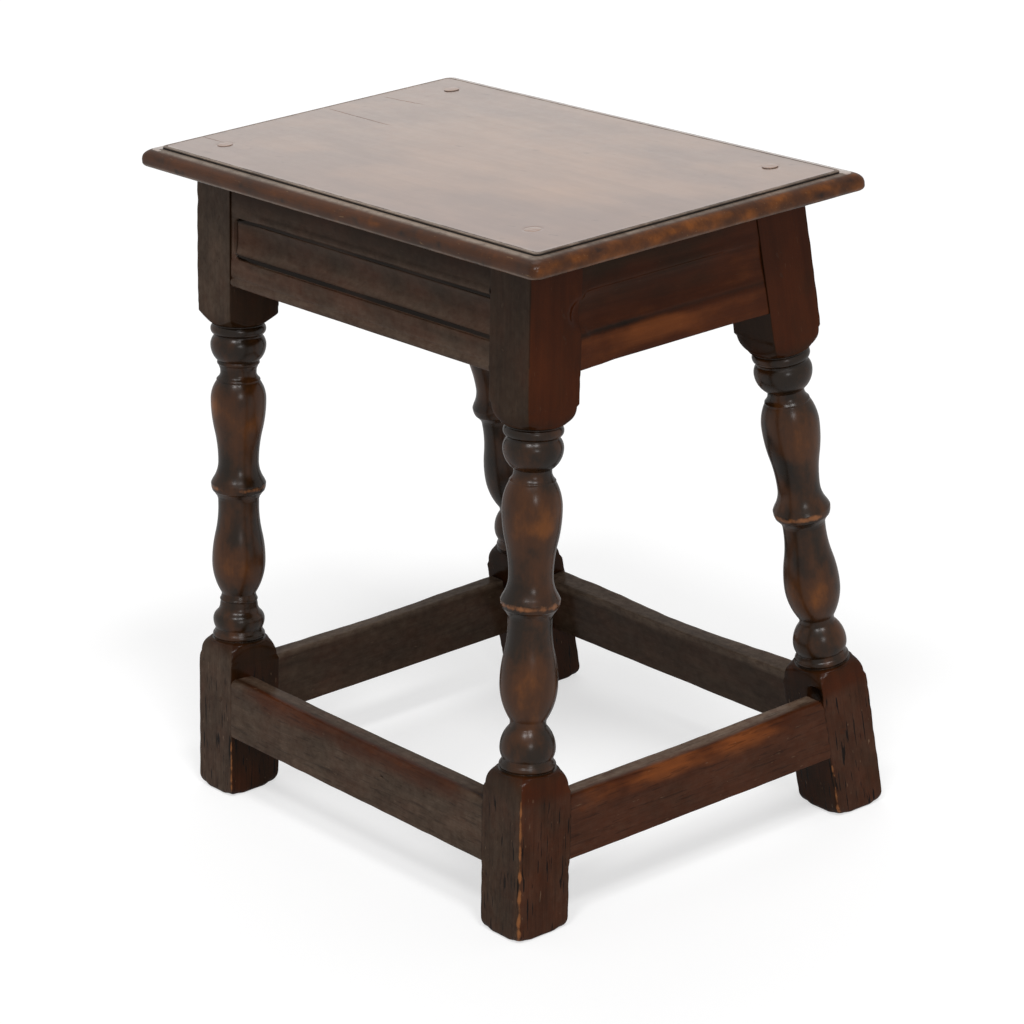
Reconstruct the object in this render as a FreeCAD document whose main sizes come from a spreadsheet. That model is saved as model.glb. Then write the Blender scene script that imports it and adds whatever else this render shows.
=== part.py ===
import FreeCAD, Part
import math
import os
from types import SimpleNamespace

import Sketcher

# A joined stool: a moulded board pegged on four turned legs that splay to the front and the back,
# with moulded rails under the board and plain stretchers near the floor.
# Millimetres. The origin is on the floor under the middle of the board, X runs along the board,
# the front is at -Y and Z points up.

lengths = {
    # seat board
    "seatHeight": 550,
    "boardThick": 16,
    "endOverhang": 42.5,
    "sideOverhang": 29.5,
    "cornerRound": 5,
    # thumbnail moulding round the board
    "mouldWidth": 14.4,
    "mouldFillet": 2.4,
    "mouldFlat": 0.8,
    "lipOut": 1.4,
    "lipHeight": 3.2,
    # frame over the legs' outer faces
    "frameLength": 451,
    "frameWidth": 266,
    "footSpread": 381,
    "legSize": 49,
    "footWear": 3,
    # how far the square blocks of a leg run past the stretchers and the rails, and the turning
    "footBlockRise": 14.4,
    "headBlockDrop": 23.1,
    "turningInset": 1,
    "shoulderBend": 18,
    # moulded rails, from the top down
    "railThick": 24,
    "fasciaHeight": 26.5,
    "fasciaSink": 1.1,
    "noseHeight": 4.5,
    "quirkHeight": 3,
    "quirkDepth": 3.6,
    "coveHeight": 25.5,
    "coveSink": 5,
    "coveRise": 1.4,
    "fillHeight": 2.8,
    "fillDepth": 3.2,
    "bandHeight": 20.9,
    "bandSink": 0.8,
    "beadQuirk": 1.3,
    "beadHeight": 7.5,
    # stretchers
    "stretcherHeight": 51,
    "stretcherThick": 22,
    "stretcherGap": 54.5,
    "stretcherWear": 5,
    "leftStretcherDrop": 4,
    # tenons and their mortises
    "tenonThick": 9,
    "tenonSetback": 8,
    "tenonEndWall": 3,
    "railHaunch": 26,
    "railTenonFoot": 8,
    "stretcherTenonEdge": 8,
    "fitGap": 0.1,
    "mortiseEndGap": 1,
    # pegs that lock the joints
    "jointPegRadius": 4,
    "jointPegBite": 9,
    "railPegEdge": 11,
    "pegStagger": 9,
    "pegGap": 0.05,
    # pegs that hold the board
    "seatPegRadius": 7.2,
    "seatPegProud": 1,
    "seatPegCrown": 0.8,
    "seatPegTip": 6,
    "seatPegTaper": 1.2,
    "seatPegWall": 4,
    # what a cut runs past the wood
    "overrun": 2,
}

# The turning from the lower block up. Each step has the height it reaches as a share of the turned
# length, the radius it reaches as a share of the full radius, and the surface that leads up to it:
# a shoulder, a straight side, a bead, an arc that leaves or reaches a widest or narrowest place
# upright, or a sweep between two such places.
turnedShares = [
    # lower shoulder and base ring
    (0.046, 1, "shoulder"),
    (0.048, 0.919, "side"),
    (0.067, 0.906, "bead"),
    (0.075, 0.868, "side"),
    # ball and its neck
    (0.101, 0.953, "reach"),
    (0.159, 0.6, "leave"),
    (0.166, 0.579, "side"),
    # lower baluster with its lip
    (0.173, 0.651, "side"),
    (0.181, 0.664, "bead"),
    (0.184, 0.634, "side"),
    (0.272, 0.966, "reach"),
    (0.431, 0.732, "sweep"),
    (0.446, 0.734, "side"),
    (0.457, 0.736, "bead"),
    # middle ring
    (0.459, 0.774, "side"),
    (0.473, 0.889, "side"),
    (0.4745, 0.945, "side"),
    (0.4855, 0.987, "side"),
    (0.507, 0.991, "side"),
    (0.51, 0.962, "side"),
    # upper baluster with its collar
    (0.557, 0.732, "reach"),
    (0.736, 0.996, "sweep"),
    (0.802, 0.787, "leave"),
    (0.805, 0.736, "side"),
    (0.808, 0.762, "side"),
    (0.831, 0.626, "reach"),
    (0.838, 0.634, "side"),
    # top rings
    (0.891, 0.998, "reach"),
    (0.923, 0.911, "leave"),
    (0.925, 0.889, "side"),
    (0.933, 0.902, "side"),
    (0.936, 0.953, "side"),
    (0.952, 0.962, "bead"),
    (0.954, 1, "side"),
]

# Where each seat peg stands, as shares of the leg's size in from the outer end face and the outer
# long face of its leg's top.
seatPegShares = {
    "front_left": (0.245, 0.449),
    "front_right": (0.571, 0.5),
    "back_left": (0.245, 0.245),
    "back_right": (0.5, 0.245),
}

beadShare = 0.6
noseShare = 0.62
coveShare = 0.8
lipShare = 1.15
ends = {"left": -1, "right": 1}
sides = {"front": -1, "back": 1}


class Size:
    # a length or an angle that carries its value and the formula that binds it to the sheet

    def __init__(self, value, text):
        self.value = value
        self.text = text

    def __add__(self, other):
        other = asSize(other)
        return Size(self.value + other.value, f"({self.text} + {other.text})")

    def __sub__(self, other):
        other = asSize(other)
        return Size(self.value - other.value, f"({self.text} - {other.text})")

    def __mul__(self, other):
        other = asSize(other)
        return Size(self.value * other.value, f"({self.text} * {other.text})")

    def __truediv__(self, other):
        other = asSize(other)
        return Size(self.value / other.value, f"({self.text} / {other.text})")

    def __rmul__(self, other):
        return asSize(other) * self

    def __radd__(self, other):
        return asSize(other) + self

    def __neg__(self):
        return Size(-self.value, f"(-1 * {self.text})")


def asSize(value):
    return value if isinstance(value, Size) else Size(float(value), str(float(value)))


def tan(angle):
    return Size(math.tan(math.radians(angle.value)), f"tan({angle.text})")


def cos(angle):
    return Size(math.cos(math.radians(angle.value)), f"cos({angle.text})")


def sin(angle):
    return Size(math.sin(math.radians(angle.value)), f"sin({angle.text})")


def atan(slope):
    return Size(math.degrees(math.atan(slope.value)), f"atan({slope.text})")


def root(number):
    return Size(math.sqrt(number.value), f"sqrt({number.text})")


doc = FreeCAD.newDocument("JoinedStool")
sheet = doc.addObject("Spreadsheet::Sheet", "Sizes")
for row, (name, value) in enumerate(lengths.items(), start=1):
    sheet.set(f"A{row}", name)
    sheet.set(f"B{row}", str(value))
    sheet.setAlias(f"B{row}", name)
doc.recompute()
size = SimpleNamespace(**{name: Size(float(value), "Sizes." + name) for name, value in lengths.items()})

# sizes worked out from the sheet
frameTop = size.seatHeight - size.boardThick
splay = atan((size.footSpread - size.frameWidth) / 2 / frameTop)
lean = tan(splay)
legDepth = size.legSize / cos(splay)
footAxis = (size.footSpread - legDepth) / 2
half = size.legSize / 2
boardLength = size.frameLength + size.endOverhang * 2
boardWidth = size.frameWidth + size.sideOverhang * 2
fullRadius = half - size.turningInset
cornerRadius = half * root(asSize(2))
legX = size.frameLength / 2 - half
tenonInner = size.tenonSetback + size.tenonThick
tenonReach = size.frameLength / 2 - tenonInner - size.tenonEndWall
shoulderX = size.frameLength / 2 - size.legSize
railUpper = size.fasciaHeight + size.noseHeight + size.quirkHeight + size.coveHeight
railHeight = railUpper + size.fillHeight + size.bandHeight + size.beadQuirk + size.beadHeight
railTopAlong = frameTop / cos(splay) - half * lean
stretcherFootAlong = size.stretcherGap / cos(splay) - half * lean
turnedFoot = stretcherFootAlong + size.stretcherHeight + size.footBlockRise
turnedHead = railTopAlong - railHeight - size.headBlockDrop
turnedLength = turnedHead - turnedFoot
pegDepth = tenonInner + size.jointPegBite
jointPegSetin = (size.legSize - tenonInner) / 2
pegX = shoulderX + jointPegSetin
seatPegDepth = size.railHaunch - size.seatPegWall


def outerY(height):
    # how far the legs' outer faces stand from the middle at a height above the floor
    return size.frameWidth / 2 + (frameTop - height) * lean


def innerY(height):
    return outerY(height) - legDepth


def vector(x=0.0, y=0.0, z=0.0):
    return FreeCAD.Vector(*(part.value if isinstance(part, Size) else part for part in (x, y, z)))


def bind(item, path, value):
    value = asSize(value)
    item.setExpression(path, value.text)


def place(item, x=0, y=0, z=0, axis=(1, 0, 0), angle=0):
    # puts an item at three bound places, turned about an axis by a bound angle
    turn = FreeCAD.Rotation(FreeCAD.Vector(*axis), asSize(angle).value)
    item.Placement = FreeCAD.Placement(vector(x, y, z), turn)
    for letter, value in zip("xyz", (x, y, z)):
        bind(item, "Placement.Base." + letter, value)
    if isinstance(angle, Size):
        bind(item, "Placement.Rotation.Angle", angle)


def newBody(label):
    body = doc.addObject("PartDesign::Body", label)
    body.Label = label
    return body


def originPart(body, role):
    return next(item for item in body.Origin.OriginFeatures if item.Role == role)


def arcCentre(start, end, radius, onLeft):
    # the centre of the short arc between two points, on the left or the right of the way there
    way = end - start
    across = FreeCAD.Vector(-way.y, way.x, 0).normalize()
    reach = math.sqrt(max(radius ** 2 - (way.Length / 2) ** 2, 0))
    return (start + end) * 0.5 + across * (reach if onLeft else -reach)


def drawLoop(sketch, corners):
    # one closed outline: each corner is (across, up) or (across, up, radius, centre on the left)
    # where an arc leads to the next corner
    first = sketch.GeometryCount
    points = [vector(corner[0], corner[1]) for corner in corners]
    shapes, startEnds = [], []
    for index, corner in enumerate(corners):
        start, end = points[index], points[(index + 1) % len(points)]
        if len(corner) == 2:
            shapes.append(Part.LineSegment(start, end))
            startEnds.append((1, 2))
            continue
        radius, onLeft = corner[2].value, corner[3]
        centre = arcCentre(start, end, radius, onLeft)
        low, high = (start, end) if onLeft else (end, start)
        angles = [math.atan2(point.y - centre.y, point.x - centre.x) for point in (low, high)]
        circle = Part.Circle(centre, FreeCAD.Vector(0, 0, 1), radius)
        shapes.append(Part.ArcOfCircle(circle, angles[0], angles[1]))
        startEnds.append((1, 2) if onLeft else (2, 1))
    sketch.addGeometry(shapes, False)
    joints, rules, formulas = [], [], []
    for index, corner in enumerate(corners):
        here, after = first + index, first + (index + 1) % len(corners)
        joints.append(Sketcher.Constraint("Coincident", here, startEnds[index][1],
                                          after, startEnds[(index + 1) % len(corners)][0]))
        start = startEnds[index][0]
        rules.append(Sketcher.Constraint("DistanceX", -1, 1, here, start, points[index].x))
        rules.append(Sketcher.Constraint("DistanceY", -1, 1, here, start, points[index].y))
        formulas += [corner[0], corner[1]]
        if len(corner) > 2:
            rules.append(Sketcher.Constraint("Radius", here, corner[2].value))
            formulas.append(corner[2])
    sketch.addConstraint(joints)
    base = sketch.ConstraintCount
    sketch.addConstraint(rules)
    for offset, formula in enumerate(formulas):
        bind(sketch, f"Constraints[{base + offset}]", formula)


def newSketch(body, name, role, loops):
    sketch = body.newObject("Sketcher::SketchObject", name)
    sketch.AttachmentSupport = [(originPart(body, role), "")]
    sketch.MapMode = "FlatFace"
    for corners in loops:
        drawLoop(sketch, corners)
    return sketch


def pad(body, sketch, length, symmetric=True):
    feature = body.newObject("PartDesign::Pad", sketch.Name + "Pad")
    feature.Profile = (sketch, [""])
    feature.SideType = "Symmetric" if symmetric else "One side"
    bind(feature, "Length", length)
    return feature


def cutThrough(body, sketch):
    feature = body.newObject("PartDesign::Pocket", sketch.Name + "Cut")
    feature.Profile = (sketch, [""])
    feature.SideType = "Symmetric"
    feature.Type = "ThroughAll"
    return feature


def box(body, kind, name, low, high, angle=None, at=None):
    # an added or subtracted box between two corners, or one turned about X that starts at a point
    feature = body.newObject("PartDesign::" + kind + "Box", name)
    for side, start, end in zip(("Length", "Width", "Height"), low, high):
        bind(feature, side, end - start)
    corner = low if at is None else at
    place(feature, *corner, angle=0 if angle is None else angle)
    return feature


def bore(body, name, radius, depth, at, axis, angle):
    # a round hole that starts at a point; unturned it runs up
    feature = body.newObject("PartDesign::SubtractiveCylinder", name)
    bind(feature, "Radius", radius)
    bind(feature, "Height", depth)
    place(feature, *at, axis=axis, angle=angle)
    return feature


def turningOutline():
    # the waste that the lathe takes off the square stock, as half of its section beside the axis
    outside = cornerRadius + size.overrun
    corners = [(outside, turnedFoot)]
    radius, height = cornerRadius, turnedFoot
    for heightShare, radiusShare, surface in turnedShares:
        nextHeight = turnedFoot + turnedLength * heightShare
        nextRadius = fullRadius * radiusShare
        climb = nextHeight - height
        change = nextRadius - radius
        wide = change if change.value > 0 else -change
        if surface == "side":
            corners.append((radius, height))
        elif surface == "bead":
            corners.append((radius, height, climb * beadShare, True))
        elif surface == "shoulder":
            corners.append((radius, height, size.shoulderBend, True))
        elif surface == "sweep":
            bend = (climb * climb + wide * wide) / (wide * 4)
            corners.append((radius, height, bend, change.value < 0))
            corners.append((radius + change / 2, height + climb / 2, bend, change.value > 0))
        else:
            bend = (climb * climb + wide * wide) / (wide * 2)
            hollow = (change.value > 0) == (surface == "leave")
            corners.append((radius, height, bend, not hollow))
        radius, height = nextRadius, nextHeight
    corners.append((radius, height, size.shoulderBend, True))
    corners.append((cornerRadius, turnedHead))
    corners.append((outside, turnedHead))
    return corners


def makeSeatBoard():
    body = newBody("seat_board")
    halfLength, halfWidth = boardLength / 2, boardWidth / 2
    bend = size.cornerRound
    outline = []
    for signX, signY in ((1, -1), (1, 1), (-1, 1), (-1, -1)):
        alongX = (signX * (halfLength - bend), signY * halfWidth)
        alongY = (signX * halfLength, signY * (halfWidth - bend))
        start, end = (alongX, alongY) if signX * signY < 0 else (alongY, alongX)
        outline += [(*start, bend, True), end]
    pad(body, newSketch(body, "BoardOutline", "XY_Plane", [outline]), size.boardThick, symmetric=False)
    edges = (("LongEdges", "YZ_Plane", halfWidth), ("EndEdges", "XZ_Plane", halfLength))
    for name, role, reach in edges:
        loops = [edgeWaste(reach, sign) for sign in (-1, 1)]
        cutThrough(body, newSketch(body, name, role, loops))
    radius, depth = size.seatPegRadius + size.pegGap, size.boardThick + size.overrun * 2
    for corner, (x, y) in seatPegPlaces().items():
        bore(body, "PegHole_" + corner, radius, depth, (x, y, -size.overrun), (1, 0, 0), 0)
    place(body, z=frameTop)
    return body


def edgeWaste(reach, sign):
    # what the moulding plane takes off one edge: a step, a quarter round and a small lip below it
    inner = reach - size.mouldWidth
    start = inner + size.mouldFlat
    end = reach - size.lipOut
    lipTop = size.lipHeight
    across, down = end - start, size.boardThick - size.mouldFillet - lipTop
    bend = (across * across + down * down) / (down * 2)
    onLeft = sign < 0
    return [
        (sign * inner, size.boardThick + size.overrun),
        (sign * inner, size.boardThick - size.mouldFillet),
        (sign * start, size.boardThick - size.mouldFillet, bend, onLeft),
        (sign * end, lipTop, size.lipOut * lipShare, onLeft),
        (sign * reach, lipTop - size.lipOut),
        (sign * (reach + size.overrun), lipTop - size.lipOut),
        (sign * (reach + size.overrun), size.boardThick + size.overrun),
    ]


def seatPegPlaces():
    places = {}
    for sideName, side in sides.items():
        for endName, end in ends.items():
            corner = sideName + "_" + endName
            endShare, sideShare = seatPegShares[corner]
            x = end * (size.frameLength / 2 - size.legSize * endShare)
            y = side * (size.frameWidth / 2 - size.legSize * sideShare)
            places[corner] = (x, y)
    return places


def alongLeg(side, y, height):
    # a point beside a leg, from the stool's own Y and Z to the leg's leaning ones
    fromAxis = y - side * footAxis
    return (fromAxis * cos(splay) + side * height * sin(splay),
            height * cos(splay) - side * fromAxis * sin(splay))


def leanAngle(side):
    return side * splay


def endTenon(height, tall, edgeTop, edgeFoot):
    # top, foot and reach from the middle of an end rail's or end stretcher's tenons
    top = height + tall - edgeTop
    reach = outerY(top) - (tenonInner + size.tenonEndWall) / cos(splay)
    return top, height + edgeFoot, reach


def stretcherDrop(end):
    return size.leftStretcherDrop if end < 0 else asSize(0)


def makeLeg(sideName, endName):
    side, end = sides[sideName], ends[endName]
    label = "_".join(("leg", sideName, endName))
    body = newBody(label)
    slope = side * half * lean
    top = frameTop / cos(splay)
    outline = [(-half, slope), (half, -slope), (half, top - slope), (-half, top + slope)]
    pad(body, newSketch(body, "Stock_" + label, "YZ_Plane", [outline]), size.legSize)
    lathe = body.newObject("PartDesign::Groove", "Turning_" + label)
    lathe.Profile = (newSketch(body, "Waste_" + label, "XZ_Plane", [turningOutline()]), [""])
    lathe.ReferenceAxis = (originPart(body, "Z_Axis"), [""])
    lathe.Angle = 360
    doc.recompute()

    # mortises for the long rail and the long stretcher, square to the leg
    outerFace = side * half
    near, far = outerFace - side * size.tenonSetback, outerFace - side * tenonInner
    lowY, highY = (near, far) if side < 0 else (far, near)
    depth = size.legSize - tenonInner - size.tenonEndWall + size.mortiseEndGap
    startX = -half - size.overrun if end > 0 else half - depth
    for name, foot, head in longTenons():
        low = (startX, lowY - size.fitGap, foot - size.fitGap)
        high = (startX + depth + size.overrun, highY + size.fitGap, head + size.fitGap)
        box(body, "Subtractive", name + "Mortise_" + label, low, high)

    # mortises for the end rail and the end stretcher, level with the floor
    nearX, farX = half - size.tenonSetback, half - tenonInner
    lowX = (farX if end > 0 else -nearX) - size.fitGap
    wide = size.tenonThick + size.fitGap * 2
    for name, foot, head, reach in endTenons(end):
        inner = innerY(head) - size.overrun
        outer = reach + size.mortiseEndGap
        startY = side * (inner if side > 0 else outer)
        y, z = alongLeg(side, startY, foot - size.fitGap)
        low = (lowX, asSize(0), asSize(0))
        high = (lowX + wide, outer - inner, head - foot + size.fitGap * 2)
        box(body, "Subtractive", name + "Mortise_" + label, low, high, -leanAngle(side), (lowX, y, z))

    # peg holes through the mortises
    radius, long = size.jointPegRadius + size.pegGap, pegDepth + size.overrun
    for index, (y, z) in enumerate(endPegPlaces(side, end)):
        startX = end * (half + size.overrun)
        bore(body, f"EndPegHole{index}_{label}", radius, long, (startX, y, z), (0, 1, 0), -90 * end)
    for index, z in enumerate(longPegPlaces()):
        x = end * (jointPegSetin - half)
        startY = side * (half + size.overrun)
        bore(body, f"LongPegHole{index}_{label}", radius, long, (x, startY, z), (1, 0, 0), 90 * side)

    # hole for the seat peg, upright in the stool
    x, y = seatPegPlaces()[sideName + "_" + endName]
    holeY, holeZ = alongLeg(side, y, frameTop - seatPegDepth - size.pegGap)
    bore(body, "SeatPegHole_" + label, size.seatPegRadius + size.pegGap, seatPegDepth + size.overrun * 2,
         (x - end * legX, holeY, holeZ), (1, 0, 0), -leanAngle(side))
    wearFoot(body, label)
    place(body, end * legX, side * footAxis, 0, angle=leanAngle(side))
    return body


def wearFoot(body, label):
    # the arrises that stand on the floor are worn off
    doc.recompute()
    solid = body.Tip.Shape
    foot = min(solid.Faces, key=lambda face: face.CenterOfMass.z)
    names = [f"Edge{index}" for index, edge in enumerate(solid.Edges, start=1)
             if any(edge.isSame(other) for other in foot.Edges)]
    base = body.Tip
    wear = body.newObject("PartDesign::Chamfer", "FootWear_" + label)
    wear.Base = (base, names)
    bind(wear, "Size", size.footWear)


def longTenons():
    # foot and head of the long rails' and the long stretchers' tenons, along the leg
    railFoot = railTopAlong - railHeight
    return [
        ("LongRail", railFoot + size.railTenonFoot, railTopAlong - size.railHaunch),
        ("LongStretcher", stretcherFootAlong + size.stretcherTenonEdge,
         stretcherFootAlong + size.stretcherHeight - size.stretcherTenonEdge),
    ]


def endTenons(end):
    # foot, head and reach of the end rail's and the end stretcher's tenons above the floor
    railTop, railFoot, railReach = endTenon(frameTop - railHeight, railHeight,
                                            size.railHaunch, size.railTenonFoot)
    edge = size.stretcherTenonEdge
    top, foot, reach = endTenon(size.stretcherGap - stretcherDrop(end), size.stretcherHeight, edge, edge)
    return [("EndRail", railFoot, railTop, railReach), ("EndStretcher", foot, top, reach)]


def longPegPlaces():
    # two pegs near the ends of a long rail's tenon and one in a long stretcher's, along the leg
    upper = railTopAlong - size.railHaunch - size.railPegEdge
    lower = railTopAlong - railHeight + size.railTenonFoot + size.railPegEdge
    middle = stretcherFootAlong + size.stretcherHeight / 2
    return [upper, lower, middle + size.pegStagger / 2]


def endPegHeights(end):
    # the pegs from the end faces, staggered so that they pass the long pieces' pegs
    upper = frameTop - size.railHaunch - size.railPegEdge - size.pegStagger
    lower = frameTop - railHeight + size.railTenonFoot + size.railPegEdge + size.pegStagger
    middle = size.stretcherGap - stretcherDrop(end) + size.stretcherHeight / 2
    return [upper, lower, middle - size.pegStagger / 2]


def endPegY(height):
    return innerY(height) + jointPegSetin / cos(splay)


def endPegPlaces(side, end):
    return [alongLeg(side, side * endPegY(height), height) for height in endPegHeights(end)]


def railSection(outer, inward, top, slope):
    # section of a rail from its outer face: fascia with a nose, quirk, cove, quirk, band and bead
    def at(depth, drop):
        return outer + inward * depth, top - drop

    quirkTop = size.fasciaHeight + size.noseHeight
    coveTop = quirkTop + size.quirkHeight
    fillTop = coveTop + size.coveHeight
    bandTop = fillTop + size.fillHeight
    quirkFoot = bandTop + size.bandHeight
    beadTop = quirkFoot + size.beadQuirk
    coveRun = size.coveHeight * coveShare
    left = inward > 0
    return [
        at(size.railThick, -(size.railThick * slope)),
        at(size.fasciaSink, -(size.fasciaSink * slope)),
        (*at(size.fasciaSink, size.fasciaHeight), size.noseHeight * noseShare, left),
        at(size.fasciaSink, quirkTop),
        at(size.quirkDepth, quirkTop),
        at(size.quirkDepth, coveTop),
        (*at(size.coveSink, coveTop), coveRun, not left),
        at(size.coveRise, fillTop),
        at(size.fillDepth, fillTop),
        at(size.fillDepth, bandTop),
        at(size.bandSink, bandTop),
        at(size.bandSink, quirkFoot),
        (*at(size.bandSink + size.beadQuirk, beadTop), size.beadHeight * noseShare, left),
        at(size.bandSink + size.beadQuirk, railHeight),
        at(size.railThick, railHeight),
    ]


def stretcherSection(outer, inward, foot):
    # section of a stretcher, its upper outer arris worn round by feet
    head = foot + size.stretcherHeight
    wear = size.stretcherWear
    inner = outer + inward * size.stretcherThick
    return [
        (outer, foot),
        (inner, foot),
        (inner, head),
        (outer + inward * wear, head, wear, inward > 0),
        (outer, head - wear),
    ]


def makeLongPiece(label, side, section, tenon, pegPlaces):
    # a long rail or long stretcher: square shoulders, one tenon at each end
    body = newBody(label)
    pad(body, newSketch(body, "Section_" + label, "YZ_Plane", [section]), shoulderX * 2)
    outerFace = side * half
    near, far = outerFace - side * size.tenonSetback, outerFace - side * tenonInner
    lowY, highY = (near, far) if side < 0 else (far, near)
    name, foot, head = tenon
    box(body, "Additive", "Tenons_" + label, (-tenonReach, lowY, foot), (tenonReach, highY, head))
    for index, z in enumerate(pegPlaces):
        for endName, end in ends.items():
            start = (end * pegX, side * (half + size.overrun), z)
            bore(body, f"PegHole{index}_{endName}_{label}", size.jointPegRadius + size.pegGap,
                 pegDepth + size.overrun, start, (1, 0, 0), 90 * side)
    place(body, 0, side * footAxis, 0, angle=leanAngle(side))
    return body


def makeEndPiece(label, end, section, foot, tall, tenon, pegHeights):
    # an end rail or end stretcher: shoulders cut to the legs' lean, one tenon at each end
    body = newBody(label)
    longest = innerY(foot - size.overrun)
    pad(body, newSketch(body, "Section_" + label, "XZ_Plane", [section]), longest * 2)
    low, high = foot - size.overrun, foot + tall + size.overrun
    past = longest + size.overrun
    waste = []
    for side in sides.values():
        waste.append([(side * innerY(high), high), (side * past, high), (side * past, low),
                      (side * innerY(low), low)])
    cutThrough(body, newSketch(body, "Shoulders_" + label, "YZ_Plane", waste))
    doc.recompute()
    name, tenonFoot, tenonHead, reach = tenon
    near, far = end * -size.tenonSetback, end * -tenonInner
    lowX, highX = (near, far) if end < 0 else (far, near)
    box(body, "Additive", "Tenons_" + label, (lowX, -reach, tenonFoot), (highX, reach, tenonHead))
    for index, height in enumerate(pegHeights):
        for sideName, side in sides.items():
            start = (end * size.overrun, side * endPegY(height), height)
            bore(body, f"PegHole{index}_{sideName}_{label}", size.jointPegRadius + size.pegGap,
                 pegDepth + size.overrun, start, (0, 1, 0), -90 * end)
    place(body, end * size.frameLength / 2, 0, 0)
    return body


def makeSeatPeg(corner, x, y):
    # a peg driven through the board into the leg's top, its head a little proud
    body = newBody("seat_peg_" + corner)
    radius, crown = size.seatPegRadius, size.seatPegCrown
    head = size.seatHeight + size.seatPegProud
    foot = frameTop - seatPegDepth
    zero = asSize(0)
    outline = [
        (zero, foot),
        (radius - size.seatPegTaper, foot),
        (radius, foot + size.seatPegTip),
        (radius, head - crown),
        (radius - crown, head),
        (zero, head),
    ]
    revolve = body.newObject("PartDesign::Revolution", "Shank_" + corner)
    revolve.Profile = (newSketch(body, "PegHalf_" + corner, "XZ_Plane", [outline]), [""])
    revolve.ReferenceAxis = (originPart(body, "Z_Axis"), [""])
    revolve.Angle = 360
    place(body, x, y, 0)
    return body


def makeJointPegs(label, sideName, endName, chosen):
    # the pegs of a leg's rail joints or stretcher joints, as one group of separate pins
    side, end = sides[sideName], ends[endName]
    pins = []
    for index in chosen:
        y, z = endPegPlaces(side, end)[index]
        pins.append(((end * half, y, z), (0, 1, 0), -90 * end))
        z = longPegPlaces()[index]
        pins.append(((end * (jointPegSetin - half), side * half, z), (1, 0, 0), 90 * side))
    shapes = []
    for index, (at, axis, angle) in enumerate(pins):
        pin = doc.addObject("Part::Cylinder", f"Pin{index}_{label}")
        bind(pin, "Radius", size.jointPegRadius)
        bind(pin, "Height", pegDepth)
        place(pin, *at, axis=axis, angle=angle)
        shapes.append(pin)
    group = doc.addObject("Part::Compound", label)
    group.Label = label
    group.Links = shapes
    place(group, end * legX, side * footAxis, 0, angle=leanAngle(side))
    return group


def makeParts():
    parts = [makeSeatBoard()]
    longRail, longStretcher = longTenons()
    pegPlaces = longPegPlaces()
    for sideName, side in sides.items():
        outer = side * half
        section = railSection(outer, -side, railTopAlong, lean)
        parts.append(makeLongPiece("rail_" + sideName, side, section, longRail, pegPlaces[:2]))
        section = stretcherSection(outer, -side, stretcherFootAlong)
        parts.append(makeLongPiece("stretcher_" + sideName, side, section, longStretcher, pegPlaces[2:]))
    for endName, end in ends.items():
        endRail, endStretcher = endTenons(end)
        heights = endPegHeights(end)
        section = railSection(asSize(0), -end, frameTop, asSize(0))
        parts.append(makeEndPiece("rail_" + endName, end, section, frameTop - railHeight, railHeight,
                                  endRail, heights[:2]))
        foot = size.stretcherGap - stretcherDrop(end)
        section = stretcherSection(asSize(0), -end, foot)
        parts.append(makeEndPiece("stretcher_" + endName, end, section, foot, size.stretcherHeight,
                                  endStretcher, heights[2:]))
    for sideName in sides:
        for endName in ends:
            corner = sideName + "_" + endName
            parts.append(makeLeg(sideName, endName))
            parts.append(makeSeatPeg(corner, *seatPegPlaces()[corner]))
            parts.append(makeJointPegs("rail_pegs_" + corner, sideName, endName, (0, 1)))
            parts.append(makeJointPegs("stretcher_pegs_" + corner, sideName, endName, (2,)))
    return parts


parts = makeParts()
doc.recompute()
faults = [item.Name for item in doc.Objects if "Invalid" in item.State or "Error" in item.State]
faults += [item.Label for item in parts if item.Shape.isNull() or not item.Shape.isValid()]
if faults:
    raise RuntimeError("not built: " + ", ".join(faults))
os.makedirs("parts", exist_ok=True)
for item in parts:
    item.Shape.exportStep(os.path.join("parts", item.Label + ".step"))
    print(item.Label, "solids", len(item.Shape.Solids), "volume", round(item.Shape.Volume))
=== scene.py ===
import math

import bmesh
import bpy
import numpy as np
from mathutils import Matrix, Vector


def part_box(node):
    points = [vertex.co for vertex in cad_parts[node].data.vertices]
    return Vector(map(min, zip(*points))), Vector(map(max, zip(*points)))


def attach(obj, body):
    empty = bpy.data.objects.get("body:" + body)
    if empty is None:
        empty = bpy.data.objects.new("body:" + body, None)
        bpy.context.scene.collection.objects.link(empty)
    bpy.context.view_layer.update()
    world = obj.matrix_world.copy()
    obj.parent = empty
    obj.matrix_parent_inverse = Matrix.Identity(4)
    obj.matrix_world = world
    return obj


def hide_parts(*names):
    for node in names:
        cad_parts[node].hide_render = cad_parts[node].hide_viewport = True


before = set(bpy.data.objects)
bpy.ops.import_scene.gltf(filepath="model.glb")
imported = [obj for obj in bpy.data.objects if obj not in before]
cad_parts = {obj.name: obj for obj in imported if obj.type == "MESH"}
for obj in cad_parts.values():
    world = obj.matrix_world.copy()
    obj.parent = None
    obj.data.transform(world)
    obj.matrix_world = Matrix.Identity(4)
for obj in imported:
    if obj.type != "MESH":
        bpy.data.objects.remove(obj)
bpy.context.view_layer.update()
print("frame loaded:", len(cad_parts), "nodes")

# A joined stool of dark oak. Metres. X runs along the board, the front is at -Y, Z points up.

mm = 0.001
ends = {"left": -1, "right": 1}
sides = {"front": -1, "back": 1}
stance = {"topWidth": 266 * mm, "footSpread": 381 * mm}      # over the legs' outer faces, top and floor

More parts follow.
